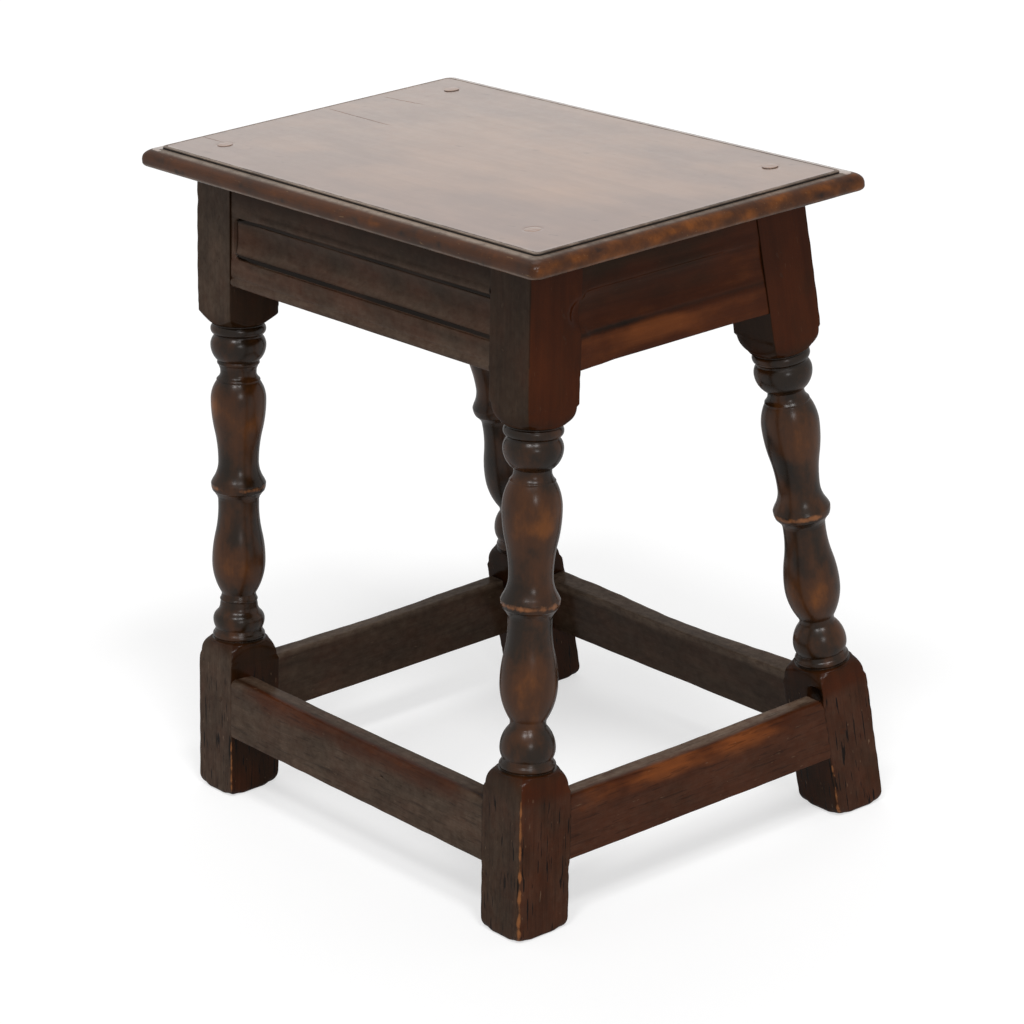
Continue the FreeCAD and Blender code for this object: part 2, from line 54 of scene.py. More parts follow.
# sizes read from the frame
boardLow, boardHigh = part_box("seat_board")
legLow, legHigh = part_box("leg_back_right")
railLow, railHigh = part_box("rail_right")
stretcherLow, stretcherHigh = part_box("stretcher_right")
frameTop = boardLow.z
boardThick = boardHigh.z - boardLow.z
legSize = legHigh.x - legLow.x
half = legSize / 2
outerX = legHigh.x
shoulderX = legLow.x
legX = outerX - half
railHeight = railHigh.z - railLow.z
stretcherHeight = stretcherHigh.z - stretcherLow.z
lean = (stance["footSpread"] - stance["topWidth"]) / 2 / frameTop
splay = math.atan(lean)
legDepth = legSize / math.cos(splay)
footAxis = (stance["footSpread"] - legDepth) / 2
railTopAlong = frameTop / math.cos(splay) - half * lean
stretcherFootAlong = stretcherLow.z / math.cos(splay) - half * lean


def innerY(height):
    # how far the legs' inner faces stand from the middle at a height above the floor
    return stance["topWidth"] / 2 + (frameTop - height) * lean - legDepth


def leanPlace(points, side):
    # turns points about X by the legs' lean and stands them on the leg's foot
    turn = side * splay
    placed = points.copy()
    placed[..., 1] = points[..., 1] * math.cos(turn) - points[..., 2] * math.sin(turn) + side * footAxis
    placed[..., 2] = points[..., 1] * math.sin(turn) + points[..., 2] * math.cos(turn)
    return placed


# Tools for shapes

surfaceMarks = ("dirt", "wear", "rub", "dust", "open")


def smoothStep(value, low, high):
    # 0 below the low value, 1 above the high one, and 3 s squared less 2 s cubed between them
    share = np.clip((value - low) / (high - low), 0, 1)
    return share * share * (3 - 2 * share)


def ripple(points, span, seed, waves=9):
    # a smooth uneven field from about -1 to 1: the mean of chance sine waves of about that span
    chance = np.random.default_rng(seed)
    ways = chance.normal(size=(waves, points.shape[-1]))
    ways /= np.linalg.norm(ways, axis=1, keepdims=True)
    ways *= 2 * math.pi / span * chance.uniform(0.6, 1.6, (waves, 1))
    phases = chance.uniform(0, 2 * math.pi, waves)
    return np.sin(points @ ways.T + phases).mean(-1) * 1.9


def evenCurve(points, step):
    # the same curve at even steps of its length
    points = np.asarray(points, float)
    along = np.r_[0, np.cumsum(np.linalg.norm(np.diff(points, axis=0), axis=1))]
    at = np.linspace(0, along[-1], max(int(along[-1] / step), 2))
    return np.stack([np.interp(at, along, column) for column in points.T], 1)


def blur(values, sigma, mode="edge"):
    # weighs each even sample with its neighbours by a bell curve of that many samples
    reach = int(sigma * 4) + 1
    weights = np.exp(-0.5 * (np.arange(-reach, reach + 1) / sigma) ** 2)
    weights /= weights.sum()
    return np.convolve(np.pad(values, reach, mode=mode), weights, "valid")


def thinCurve(points, spacing, bend):
    # picks points of a fine curve, one for each spacing of length or bend of turning, and their places
    steps = np.diff(points[:, :2], axis=0)
    heading = np.unwrap(np.arctan2(steps[:, 1], steps[:, 0]))
    turning = np.abs(np.diff(heading, prepend=heading[:1]))
    weight = np.r_[0, np.cumsum(np.linalg.norm(steps, axis=1) / spacing + turning / math.radians(bend))]
    at = np.linspace(0, weight[-1], int(weight[-1]) + 2)
    return np.stack([np.interp(at, weight, column) for column in points.T], 1)


def arcPoints(start, end, radius, onLeft, count=24):
    # the short arc of a circle between two points, its centre on the left or the right of the way
    start, end = np.array(start, float), np.array(end, float)
    way = end - start
    chord = np.linalg.norm(way)
    across = np.array([-way[1], way[0]]) / chord
    reach = math.sqrt(max(radius ** 2 - chord ** 2 / 4, 0))
    centre = (start + end) / 2 + across * (reach if onLeft else -reach)
    first, last = (math.atan2(*(point - centre)[::-1]) for point in (start, end))
    sweep = (last - first + math.pi) % (2 * math.pi) - math.pi
    angles = first + sweep * np.linspace(0, 1, count)
    return centre + radius * np.stack([np.cos(angles), np.sin(angles)], 1)


def hump(value, middle, width):
    # a bell curve: 1 in the middle, falling to 1/e a width away from it
    return np.exp(-((value - middle) / width) ** 2)


def places(x, y, z):
    # three fields of coordinates as one field of points
    return np.stack(np.broadcast_arrays(x, y, z), -1)


def softMin(first, second, width):
    # the lesser of two fields, rounded where they cross
    return (first + second - np.sqrt((first - second) ** 2 + width ** 2)) / 2


def sheet(points, grain, finish=0, **marks):
    # one grid of points with its grain places and its marks of age and of painted light and shade, each
    # from 0 to 1; the finish is one number or one for each row of faces
    shape = points.shape[:2]
    filled = {name: np.broadcast_to(marks.get(name, 0.0), shape) for name in surfaceMarks}
    return {"points": points, "grain": grain, "finish": finish, **filled}


def gridFaces(rows, columns, start):
    # quads between neighbouring rows and columns
    index = start + np.arange(rows * columns).reshape(rows, columns)
    corners = (index[:-1, :-1], index[:-1, 1:], index[1:, 1:], index[1:, :-1])
    return np.stack([corner.ravel() for corner in corners], 1)


def addObject(name, data):
    # an object at the origin, in the scene
    holder = bpy.data.objects.new(name, data)
    bpy.context.scene.collection.objects.link(holder)
    return holder


def makePiece(name, sheets, finishes, nodes):
    # joins grids into one closed mesh, welds their shared edges and turns the faces outwards
    points = np.concatenate([item["points"].reshape(-1, 3) for item in sheets])
    faces, chosen, start = [], [], 0
    for item in sheets:
        rows, columns = item["points"].shape[:2]
        faces.append(gridFaces(rows, columns, start))
        chosen.append(np.broadcast_to(item["finish"], (rows - 1, columns - 1)).ravel())
        start += rows * columns
    faces = np.concatenate(faces)
    mesh = bpy.data.meshes.new(name)
    mesh.vertices.add(len(points))
    mesh.vertices.foreach_set("co", points.astype(np.float32).ravel())
    mesh.loops.add(faces.size)
    mesh.loops.foreach_set("vertex_index", faces.astype(np.int32).ravel())
    mesh.polygons.add(len(faces))
    mesh.polygons.foreach_set("loop_start", np.arange(0, faces.size, 4, dtype=np.int32))
    for finish in finishes:
        mesh.materials.append(finish)
    mesh.polygons.foreach_set("material_index", np.concatenate(chosen).astype(np.int32))
    grain = np.concatenate([item["grain"].reshape(-1, 3) for item in sheets])
    attribute = mesh.attributes.new("grain", "FLOAT_VECTOR", "POINT")
    attribute.data.foreach_set("vector", grain.astype(np.float32).ravel())
    for mark in surfaceMarks:
        values = np.concatenate([np.clip(item[mark], 0, 1).ravel() for item in sheets])
        mesh.attributes.new(mark, "FLOAT", "POINT").data.foreach_set("value", values.astype(np.float32))
    mesh.update(calc_edges=True)
    shell = bmesh.new()
    shell.from_mesh(mesh)
    bmesh.ops.remove_doubles(shell, verts=shell.verts, dist=2e-6)
    bmesh.ops.dissolve_degenerate(shell, edges=shell.edges, dist=1e-7)
    bmesh.ops.recalc_face_normals(shell, faces=shell.faces)
    shell.to_mesh(mesh)
    shell.free()
    mesh.polygons.foreach_set("use_smooth", np.ones(len(mesh.polygons), bool))
    mesh.set_sharp_from_angle(angle=math.radians(42))
    piece = addObject(name, mesh)
    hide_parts(*nodes)
    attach(piece, "root")
    print("piece", name, len(mesh.polygons), "faces")


# Oak


def emptyTree(owner):
    # the node tree of a material or a world, with nothing in it
    owner.use_nodes = True
    owner.node_tree.nodes.clear()
    return owner.node_tree


def addNode(tree, kind, inputs, **settings):
    # one node: an input is a link where it is a socket, and a value where it isn't
    node = tree.nodes.new("ShaderNode" + kind)
    for name, value in settings.items():
        setattr(node, name, value)
    for socket, value in inputs.items():
        if isinstance(value, bpy.types.NodeSocket):
            tree.links.new(value, node.inputs[socket])
        else:
            node.inputs[socket].default_value = value
    return node


def calc(tree, operation, *values, clamp=False):
    # one sum of the values, named as the Math node names it
    inputs = dict(enumerate(values))
    return addNode(tree, "Math", inputs, operation=operation, use_clamp=clamp).outputs[0]


def mixColour(tree, share, low, high):
    # the low colour where the share is 0, the high one where it is 1
    low, high = (value if isinstance(value, bpy.types.NodeSocket) else (*value, 1) for value in (low, high))
    return addNode(tree, "Mix", {0: share, 6: low, 7: high}, data_type="RGBA").outputs[2]


def between(tree, value, low, high, least=0.0, most=1.0):
    # the smooth step from low to high, carried to the least and the most
    inputs = {"Value": value, "From Min": low, "From Max": high, "To Min": least, "To Max": most}
    return addNode(tree, "MapRange", inputs, interpolation_type="SMOOTHSTEP").outputs[0]


def noise(tree, vector, stretch, detail=3.0, rough=0.5, place=(0, 0, 0)):
    # chance pattern, finer along an axis as its stretch is larger
    inputs = {"Vector": vector, "Scale": stretch, "Location": place}
    moved = addNode(tree, "Mapping", inputs).outputs[0]
    inputs = {"Vector": moved, "Scale": 1.0, "Detail": detail, "Roughness": rough}
    return addNode(tree, "TexNoise", inputs)


# Colours of each finish, and how strongly its grain shows.
frameOak = {
    "deep": (0.0190, 0.0082, 0.0030), "red": (0.0480, 0.0108, 0.0024), "orange": (0.1500, 0.0400, 0.0085),
    "dust": (0.1500, 0.1080, 0.0780), "worn": (0.2100, 0.0800, 0.0280), "grimeAndShade": (0.0095, 0.0052, 0.0027),
    "pore": (0.0030, 0.0021, 0.0016), "fleck": (0.2200, 0.1400, 0.0850),
    "contrast": 0.36, "fibre": 0.18, "pores": 0.40, "patches": 0.6, "bump": 0.30,
    "specular": 0.0, "tint": (1, 1, 1), "roughness": 0.5, "coat": 0.14, "coatRoughness": 0.2,
}
turnedOak = {
    **frameOak, "deep": (0.0125, 0.0065, 0.0028), "red": (0.0520, 0.0175, 0.0045),
    "orange": (0.1400, 0.0430, 0.0060), "patches": 1.6, "fibre": 0.15, "pores": 0.25, "bump": 0.22,
    "coat": 0.42, "coatRoughness": 0.25,
}
edgeOak = {
    "deep": (0.0300, 0.0140, 0.0070), "red": (0.0600, 0.0190, 0.0050), "orange": (0.1650, 0.0480, 0.0055),
    "dust": (0.2300, 0.1750, 0.1350), "worn": (0.3200, 0.1700, 0.0600), "grimeAndShade": (0.0060, 0.0040, 0.0030),
    "pore": (0.0100, 0.0050, 0.0030), "fleck": (0.4000, 0.2600, 0.1200),
    "contrast": 0.5, "fibre": 0.20, "pores": 0.35, "patches": 0.8, "bump": 0.35,
    "specular": 0.0, "tint": (1, 1, 1), "roughness": 0.5, "coat": 0.35, "coatRoughness": 0.22,
}
boardOak = {
    "deep": (0.2050, 0.1200, 0.0870), "red": (0.2750, 0.1570, 0.1030), "orange": (0.3350, 0.1850, 0.1080),
    "dust": (0.3400, 0.2720, 0.2250), "worn": (0.3500, 0.2000, 0.1300), "grimeAndShade": (0.0160, 0.0100, 0.0080),
    "pore": (0.1200, 0.0700, 0.0520), "fleck": (0.3000, 0.2000, 0.1500),
    "contrast": 0.16, "fibre": 0.10, "pores": 0.20, "patches": 0.8, "bump": 0.12,
    "specular": 0.64, "tint": (1, 0.92, 0.88), "roughness": 0.30, "coat": 0.38, "coatRoughness": 0.24,
}


def makeOak(name, look):
    # oak from the grain attribute, whose Z runs along the fibres: fibres, pores and streaks are noise
    # drawn out along the grain, patches are round noise, and marks of age and painted light and shade mix in
    # over them
    material = bpy.data.materials.new(name)
    tree = emptyTree(material)
    grain = addNode(tree, "Attribute", {}, attribute_name="grain").outputs["Vector"]
    marks = {mark: addNode(tree, "Attribute", {}, attribute_name=mark).outputs["Fac"] for mark in surfaceMarks}
    wander = noise(tree, grain, (14, 14, 3), 2).outputs["Color"]
    wander = addNode(tree, "VectorMath", {0: wander, 1: (0.5, 0.5, 0.5)}, operation="SUBTRACT").outputs[0]
    wander = addNode(tree, "VectorMath", {0: wander, "Scale": 0.010}, operation="SCALE").outputs[0]
    bent = addNode(tree, "VectorMath", {0: grain, 1: wander}, operation="ADD").outputs[0]
    fibre = noise(tree, bent, (520, 520, 18), 3, 0.6).outputs[0]
    pore = noise(tree, bent, (1100, 1100, 70), 2).outputs[0]
    streak = noise(tree, bent, (90, 90, 6), 4, 0.6).outputs[0]
    check = noise(tree, bent, (430, 430, 40), 2, 0.45, (3, 5, 1)).outputs[0]
    fleck = noise(tree, bent, (520, 520, 110), 2, 0.5, (7, 2, 9)).outputs[0]
    mottle = noise(tree, grain, (30, 30, 18), 5, 0.6).outputs[0]
    patch = noise(tree, grain, (42, 42, 26), 5, 0.58, (1, 8, 4)).outputs[0]
    grimeAndShade = noise(tree, grain, (150, 150, 110), 5, 0.66).outputs[0]
    blotch = calc(tree, "SUBTRACT", patch, 0.5)
    uneven = calc(tree, "SUBTRACT", grimeAndShade, 0.5)

    # warms towards red and orange for rubbing and for painted warm light, such as on the end faces
    rubbed = calc(tree, "MULTIPLY_ADD", blotch, look["patches"], marks["rub"])
    colour = mixColour(tree, between(tree, rubbed, 0.0, 0.5), look["deep"], look["red"])
    colour = mixColour(tree, between(tree, rubbed, 0.5, 1.05), colour, look["orange"])
    # greys towards the dust colour for dust and for painted sheen and light, such as on the front faces and
    # up-facing parts
    dusted = calc(tree, "MULTIPLY", marks["dust"], calc(tree, "MULTIPLY_ADD", uneven, 2.2, 1.0))
    colour = mixColour(tree, calc(tree, "ADD", dusted, 0, clamp=True), colour, look["dust"])
    shade = calc(tree, "MULTIPLY_ADD", streak, 0.5, calc(tree, "MULTIPLY", mottle, 0.5))
    spread = look["contrast"] / 2
    tone = between(tree, shade, 0.36, 0.64, 1 - spread, 1 + spread)
    finer = calc(tree, "MULTIPLY_ADD", marks["open"], 0.8, 0.2)
    lines = calc(tree, "MULTIPLY", between(tree, fibre, 0.42, 0.64, 0.0, look["fibre"]), finer)
    tone = calc(tree, "SUBTRACT", tone, lines)
    colour = addNode(tree, "VectorMath", {0: colour, "Scale": tone}, operation="SCALE").outputs[0]
    wearMask = between(tree, calc(tree, "MULTIPLY_ADD", uneven, 1.3, marks["wear"]), 0.35, 0.85)
    colour = mixColour(tree, wearMask, colour, look["worn"])
    fleckMask = calc(tree, "MULTIPLY", between(tree, fleck, 0.71, 0.75), marks["open"])
    colour = mixColour(tree, calc(tree, "MULTIPLY", fleckMask, 0.5), colour, look["fleck"])
    streaked = between(tree, streak, 0.38, 0.6, 0.3)
    poreMask = calc(tree, "MULTIPLY", between(tree, pore, 0.59, 0.68), streaked)
    poreMask = calc(tree, "MULTIPLY", poreMask, calc(tree, "MULTIPLY", finer, look["pores"]))
    opened = between(tree, marks["open"], 0.3, 0.8)
    checkMask = calc(tree, "MULTIPLY", between(tree, check, 0.61, 0.66), opened)
    pits = calc(tree, "MAXIMUM", poreMask, calc(tree, "MULTIPLY", checkMask, 0.9))
    colour = mixColour(tree, pits, colour, look["pore"])
    # darkens towards the grime colour for dirt and for painted shade, such as in the rails' grooves, under
    # the board and on the pegs' sides
    dirtMask = between(tree, calc(tree, "MULTIPLY_ADD", uneven, 0.5, marks["dirt"]), 0.15, 0.95)
    colour = mixColour(tree, dirtMask, colour, look["grimeAndShade"])

    height = calc(tree, "MULTIPLY", calc(tree, "MULTIPLY", fibre, 0.35), marks["open"])
    height = calc(tree, "MULTIPLY_ADD", grimeAndShade, 0.30, height)
    height = calc(tree, "SUBTRACT", height, pits)
    inputs = {"Strength": look["bump"], "Distance": 0.5 * mm, "Height": height}
    bump = addNode(tree, "Bump", inputs).outputs[0]
    shader = addNode(tree, "BsdfPrincipled", {
        "Base Color": colour, "Roughness": look["roughness"], "Normal": bump, "Coat Normal": bump,
        "Specular IOR Level": look["specular"], "Specular Tint": (*look["tint"], 1),
        "Coat Weight": look["coat"], "Coat Roughness": look["coatRoughness"],
    })
    addNode(tree, "OutputMaterial", {"Surface": shader.outputs[0]})
    return material


frameWood = makeOak("waxed_oak", frameOak)
turnedWood = makeOak("varnished_turned_oak", turnedOak)
edgeWood = makeOak("handled_oak_edge", edgeOak)
boardWood = makeOak("polished_oak_board", boardOak)
print("oak ready")

# Legs

# The turning from the lower block up: the height it reaches as a share of the turned length, the
# radius as a share of the full one, and the lathe's way there.
ballShares = [
    (0.046, 1, "shoulder"), (0.048, 0.89, "side"), (0.066, 0.885, "bead"), (0.076, 0.85, "side"),
    (0.101, 0.935, "reach"), (0.160, 0.62, "leave"), (0.168, 0.603, "side"),
]
bellShares = ballShares[:-2] + [
    (0.144, 0.685, "sweep"), (0.156, 0.66, "side"), (0.163, 0.665, "bead"), (0.168, 0.64, "side"),
]
bodyShares = [
    (0.176, 0.615, "side"), (0.180, 0.640, "side"), (0.272, 0.966, "reach"),
    (0.431, 0.735, "sweep"), (0.450, 0.738, "side"), (0.4595, 0.775, "side"),
    (0.472, 0.889, "side"), (0.4755, 0.940, "side"), (0.4850, 0.978, "side"),
    (0.497, 0.991, "side"), (0.507, 0.93, "side"), (0.557, 0.732, "reach"), (0.736, 0.996, "sweep"),
]
plainNeckShares = [
    (0.800, 0.795, "leave"), (0.804, 0.765, "side"), (0.808, 0.772, "side"), (0.831, 0.628, "reach"),
    (0.838, 0.634, "side"),
]
collarNeckShares = [
    (0.786, 0.800, "leave"), (0.789, 0.765, "side"), (0.7945, 0.775, "bead"), (0.797, 0.750, "side"),
    (0.812, 0.650, "reach"), (0.822, 0.655, "side"), (0.835, 0.720, "side"), (0.846, 0.735, "bead"),
    (0.850, 0.790, "side"),
]
topShares = [
    (0.891, 0.998, "reach"), (0.916, 0.880, "leave"), (0.921, 0.868, "side"), (0.9495, 0.915, "bead"),
    (0.953, 0.935, "side"),
]
legShape = {
    "footBlockRise": 14.4 * mm,        # square block above the stretcher
    "headBlockDrop": 23.1 * mm,        # square block below the rail
    "turningInset": 1 * mm,
    "shoulderBend": 18 * mm,
    "beadShare": 0.6,
    "columnsPerFace": 28,
    "blockStep": 2.2 * mm,             # rows of the mesh along the blocks and along the turning
    "turnedStep": 1.7 * mm,
    "profileStep": 0.05 * mm,
    "arris": 1.1 * mm,                 # rounding of the blocks' arrises
    "leastRound": 0.3 * mm,
    "mostRound": 9 * mm,
    "chips": 9,                        # on each arris
    "footRound": 4 * mm,
    "footCornerRound": 5.5 * mm,       # more of it at the corners
    "shoulderSoft": 4 * mm,            # rounding between the blocks' faces and the turned shoulders
    "softening": 0.25 * mm,            # wear on the turned edges
    "ringShare": 0.489,                # the worn ring halfway up the turning, and the middles of its bellies
    "bellyShares": (0.27, 0.71),
    "varnishInset": 14 * mm,           # the varnish starts this far inside both ends of the turning
    "darkLineDrop": 80 * mm,           # the near arris is dark down to here below the rail's top, then pale
}
turnedFoot = stretcherFootAlong + stretcherHeight + legShape["footBlockRise"]
turnedHead = railTopAlong - railHeight - legShape["headBlockDrop"]
legTopAlong = frameTop / math.cos(splay)


def turnedProfile(footShares, neckShares, headCut):
    # radius against height of the turning: straight sides, beads and arcs laid end to end, then softened
    full = half - legShape["turningInset"]
    turnedLength = turnedHead - turnedFoot
    corner = half * math.sqrt(2)
    radius, height = corner, turnedFoot
    pieces = []
    for heightShare, radiusShare, surface in footShares + bodyShares + neckShares + topShares:
        start, end = (radius, height), (full * radiusShare, turnedFoot + turnedLength * heightShare)
        change, climb = end[0] - start[0], end[1] - start[1]
        if surface == "side":
            pieces.append(np.array([start, end]))
        elif surface == "bead":
            pieces.append(arcPoints(start, end, climb * legShape["beadShare"], True))
        elif surface == "shoulder":
            pieces.append(arcPoints(start, end, legShape["shoulderBend"], True))
        elif surface == "sweep":
            bend = (climb ** 2 + change ** 2) / (abs(change) * 4)
            middle = ((start[0] + end[0]) / 2, (start[1] + end[1]) / 2)
            pieces.append(arcPoints(start, middle, bend, change < 0))
            pieces.append(arcPoints(middle, end, bend, change > 0))
        else:
            bend = (climb ** 2 + change ** 2) / (abs(change) * 2)
            hollow = (change > 0) == (surface == "leave")
            pieces.append(arcPoints(start, end, bend, not hollow))
        radius, height = end
    if headCut:
        pieces.append(np.array([(radius, height), (corner, turnedHead - headCut)]))
    else:
        pieces.append(arcPoints((radius, height), (corner, turnedHead), legShape["shoulderBend"], True))
    outline = np.concatenate(pieces)
    heights = np.arange(turnedFoot, turnedHead, legShape["profileStep"])
    radii = np.interp(heights, outline[:, 1], outline[:, 0])
    return heights, blur(radii, legShape["softening"] / legShape["profileStep"])


def coveOpening(y, z):
    # the right rail's cove starts on the near leg in a round end: 0 outside it, 1 inside and along the rail
    beyond = y - coveStart["y"]
    inward = coveStart["radius"] - np.hypot(np.minimum(beyond, 0), z - coveStart["z"])
    return smoothStep(inward + 1.5 * np.maximum(beyond, 0), 0, coveStart["ramp"])


coveStart = {"y": -86 * mm, "z": 485 * mm, "radius": 17 * mm, "ramp": 9 * mm}


def roundedSquare(angles, rounds):
    # distance from the axis to a square's edge in a direction: flat faces, and arcs at the corners
    wide, narrow = np.abs(np.cos(angles)), np.abs(np.sin(angles))
    most, least = np.maximum(wide, narrow), np.minimum(wide, narrow)
    flat = half / most
    core = half - rounds
    inside = np.maximum(rounds ** 2 - (core * (wide - narrow)) ** 2, 0)
    arc = core * (wide + narrow) + np.sqrt(inside)
    return np.where(half * least / most > core, arc, flat)


def angleFrom(angle, degrees):
    # the turn between two directions, from 0 to half a circle
    return np.abs((angle - math.radians(degrees) + math.pi) % (2 * math.pi) - math.pi)


def legRows(profileHeights, profileRadii):
    # heights of the mesh's rows, and the share of the radius that each has: 0 at both ends closes them
    step = legShape["blockStep"]
    footRows = np.array([0, 0, 0, 0, 0.3, 0.8, 1.5, 2.4, 3.6, 5, 6.6, 8.4, 10.5, 13]) * mm
    lowRows = np.arange(15.5 * mm, turnedFoot - step / 2, step)
    turnedRows = thinCurve(np.stack([profileHeights, profileRadii], 1), legShape["turnedStep"], 8)[:, 0]
    highRows = np.arange(turnedHead + step, legTopAlong - 2 * mm, step)
    topRows = [legTopAlong - 1 * mm, legTopAlong - 0.4 * mm] + [legTopAlong] * 4
    heights = np.concatenate([footRows, lowRows, turnedRows, highRows, topRows])
    closing = np.ones(len(heights))
    closing[:3] = (0, 0.5, 0.9)
    closing[-3:] = (0.9, 0.5, 0)
    return heights, closing


def arrisRounds(heights, quarter, joints, wornArris, seed):
    # rounding of the four arrises along the leg: slow wear, bell-shaped chips, more wear on one of them,
    # and a sharp arris where a rail or a stretcher meets it
    least, most, chips = legShape["leastRound"], legShape["mostRound"], legShape["chips"]
    railFoot, stretcherHead = railTopAlong - railHeight, stretcherFootAlong + stretcherHeight
    joined = smoothStep(heights, stretcherFootAlong - 1 * mm, stretcherFootAlong + 2 * mm)
    joined = joined * (1 - smoothStep(heights, stretcherHead - 2 * mm, stretcherHead + 1 * mm))
    joined = joined + smoothStep(heights, railFoot - 1 * mm, railFoot + 2 * mm)
    chance = np.random.default_rng(seed)
    rounds = np.zeros(quarter.shape)
    for arris in range(4):
        wander = ripple(heights[:, None] * np.ones(3) + arris, 26 * mm, seed + arris)
        worn = legShape["arris"] * (1 + 0.45 * wander)
        middles = chance.uniform(0, legTopAlong, chips)
        reaches = chance.uniform(1.5, 5, chips) * mm
        depths = chance.uniform(0.3, 1.6, chips) * mm
        for middle, reach, deep in zip(middles, reaches, depths):
            worn = worn + deep * hump(heights, middle, reach)
        if wornArris and arris == wornArris[0]:
            strength, top = wornArris[1:]
            low = np.clip(1 - heights / top, 0, 1)
            worn = worn + (0.8 + 2.6 * low ** 2) * strength * mm * (heights < top + 5 * mm)
        if arris in joints:
            worn = worn + (least - worn) * joined
        rounds = np.where(quarter == arris, np.clip(worn, least, most)[:, None], rounds)
    return rounds


def footWear(angle, height, way, seed):
    # how far the foot is worn in: a quarter circle at the floor, larger at the corners
    offFace = np.minimum(np.abs(np.sin(angle)), np.abs(np.cos(angle))) * math.sqrt(2)
    bend = legShape["footRound"] + legShape["footCornerRound"] * smoothStep(offFace, 0.55, 1)
    bend = bend * (1 + 0.12 * ripple(way, 60 * mm, seed + 11))
    below = np.clip(bend - height, 0, None)
    return bend - np.sqrt(np.maximum(bend ** 2 - below ** 2, 0))


def sinkCove(placed):
    # the right rail's cove carried on into the near leg's block
    m = railMoulding
    outline = railOutline(0, m["endSoftening"])
    outline = outline[outline[:, 0] < m["thick"] / 2]
    cove = np.interp(frameTop - placed[..., 2], outline[:, 1], outline[:, 0]) - m["fasciaSink"]
    opening = coveOpening(placed[..., 1], placed[..., 2])
    placed[..., 0] = np.minimum(placed[..., 0], outerX - np.clip(cove, 0, None) * m["endDepth"] * opening)


def legMarks(facts, side, end, angle, height, way, local, relief, notched, turned):
    # wear on arrises, rings and beads, dirt in hollows, painted shade in a notch, rubbing on the bellies,
    # rubbing and painted warm light on the end face, and dust and painted sheen on the front face
    seed, dust, polish = facts["seed"], facts["dust"], facts["polish"]
    block = 1 - turned
    nearest = np.minimum(np.abs(local[..., 0]), np.abs(local[..., 1]))
    corner = smoothStep(nearest, half - 2.4 * mm, half - 0.6 * mm)
    lowBlock = 1 - smoothStep(height, turnedFoot - 12 * mm, turnedFoot)
    frontFace = smoothStep(np.sin(angle) * side - np.abs(np.cos(angle)), -0.03, 0.03) * block
    endFace = smoothStep(np.cos(angle) * end - np.abs(np.sin(angle)), -0.03, 0.03) * block
    shareUp = (height - turnedFoot) / (turnedHead - turnedFoot)

    tear = 0.6 * ripple(way, 14 * mm, seed + 21) + 0.6 * ripple(way, 6 * mm, seed + 22)
    wear = corner * block * (0.1 + 0.15 * lowBlock)
    wear = wear + smoothStep(relief, 0.25 * mm, 0.9 * mm) * turned * 0.12
    ring = hump(shareUp, legShape["ringShare"], 0.010)
    wear = wear + ring * (0.6 * polish + 0.25 * ripple(way, 30 * mm, seed + 8))
    darkLine = 0
    if facts["wornArris"]:
        arris, strength, top = facts["wornArris"]
        off = angleFrom(angle, 45 + 90 * arris)
        low = np.clip(1 - height / top, 0, 1)
        strip = (0.03 + 0.055 * low) * strength * (1 + 0.6 * tear)
        reached = 1 - smoothStep(height, top - 6 * mm, top)
        wear = wear + smoothStep(-off, -strip, -strip * 0.45) * (0.52 + 0.32 * tear) * reached
        if facts["coved"]:
            line = smoothStep(-off, -0.035, -0.005) * block * (1 - lowBlock) * 0.8
            above = smoothStep(height - railTopAlong + legShape["darkLineDrop"], -3 * mm, 3 * mm)
            wear = wear + line * 0.25 * (1 - above)
            darkLine = line * above
    wear = wear + 0.2 * smoothStep(height, 14 * mm, 0) * corner

    dirt = smoothStep(-relief, 0.25 * mm, 1.6 * mm) * turned * 0.7
    dirt = np.maximum(dirt, np.maximum(smoothStep(height, 3 * mm, 0) * 0.4, darkLine * 0.7))
    # the notch is painted dark as shade
    dirt = np.maximum(dirt, smoothStep(notched, 0.05, 0.7) * 0.85)
    belly = sum(hump(shareUp, middle, 0.08) for middle in legShape["bellyShares"])
    blotched = ripple(way * (1, 1, 0.5), 22 * mm, seed + 9)
    # the blocks' end faces are warmer: partly rubbing, partly painted warm light on that face
    rub = 0.08 + (0.36 + 0.1 * blotched) * endFace * (1 - 0.5 * lowBlock)
    rub = rub + turned * polish * (0.08 + 0.26 * belly) + 0.08 * lowBlock
    for spotShare, degrees, size, strength in facts["warm"]:
        facing = np.cos(angle - math.radians(degrees)) * turned
        rub = rub + strength * hump(shareUp, spotShare, size) * smoothStep(facing, 0.4, 1)
    # the blocks' front faces are greyer: partly dust, partly painted sheen on that face
    dusted = frontFace * (dust[0] * (1 - lowBlock) + dust[1] * lowBlock)
    dusted = dusted + (0.5 + 0.2 * blotched) * dust[1] * endFace * lowBlock
    opened = 0.05 + 0.1 * block + 0.65 * lowBlock
    return {"dirt": dirt, "wear": wear, "rub": rub, "dust": dusted, "open": opened}


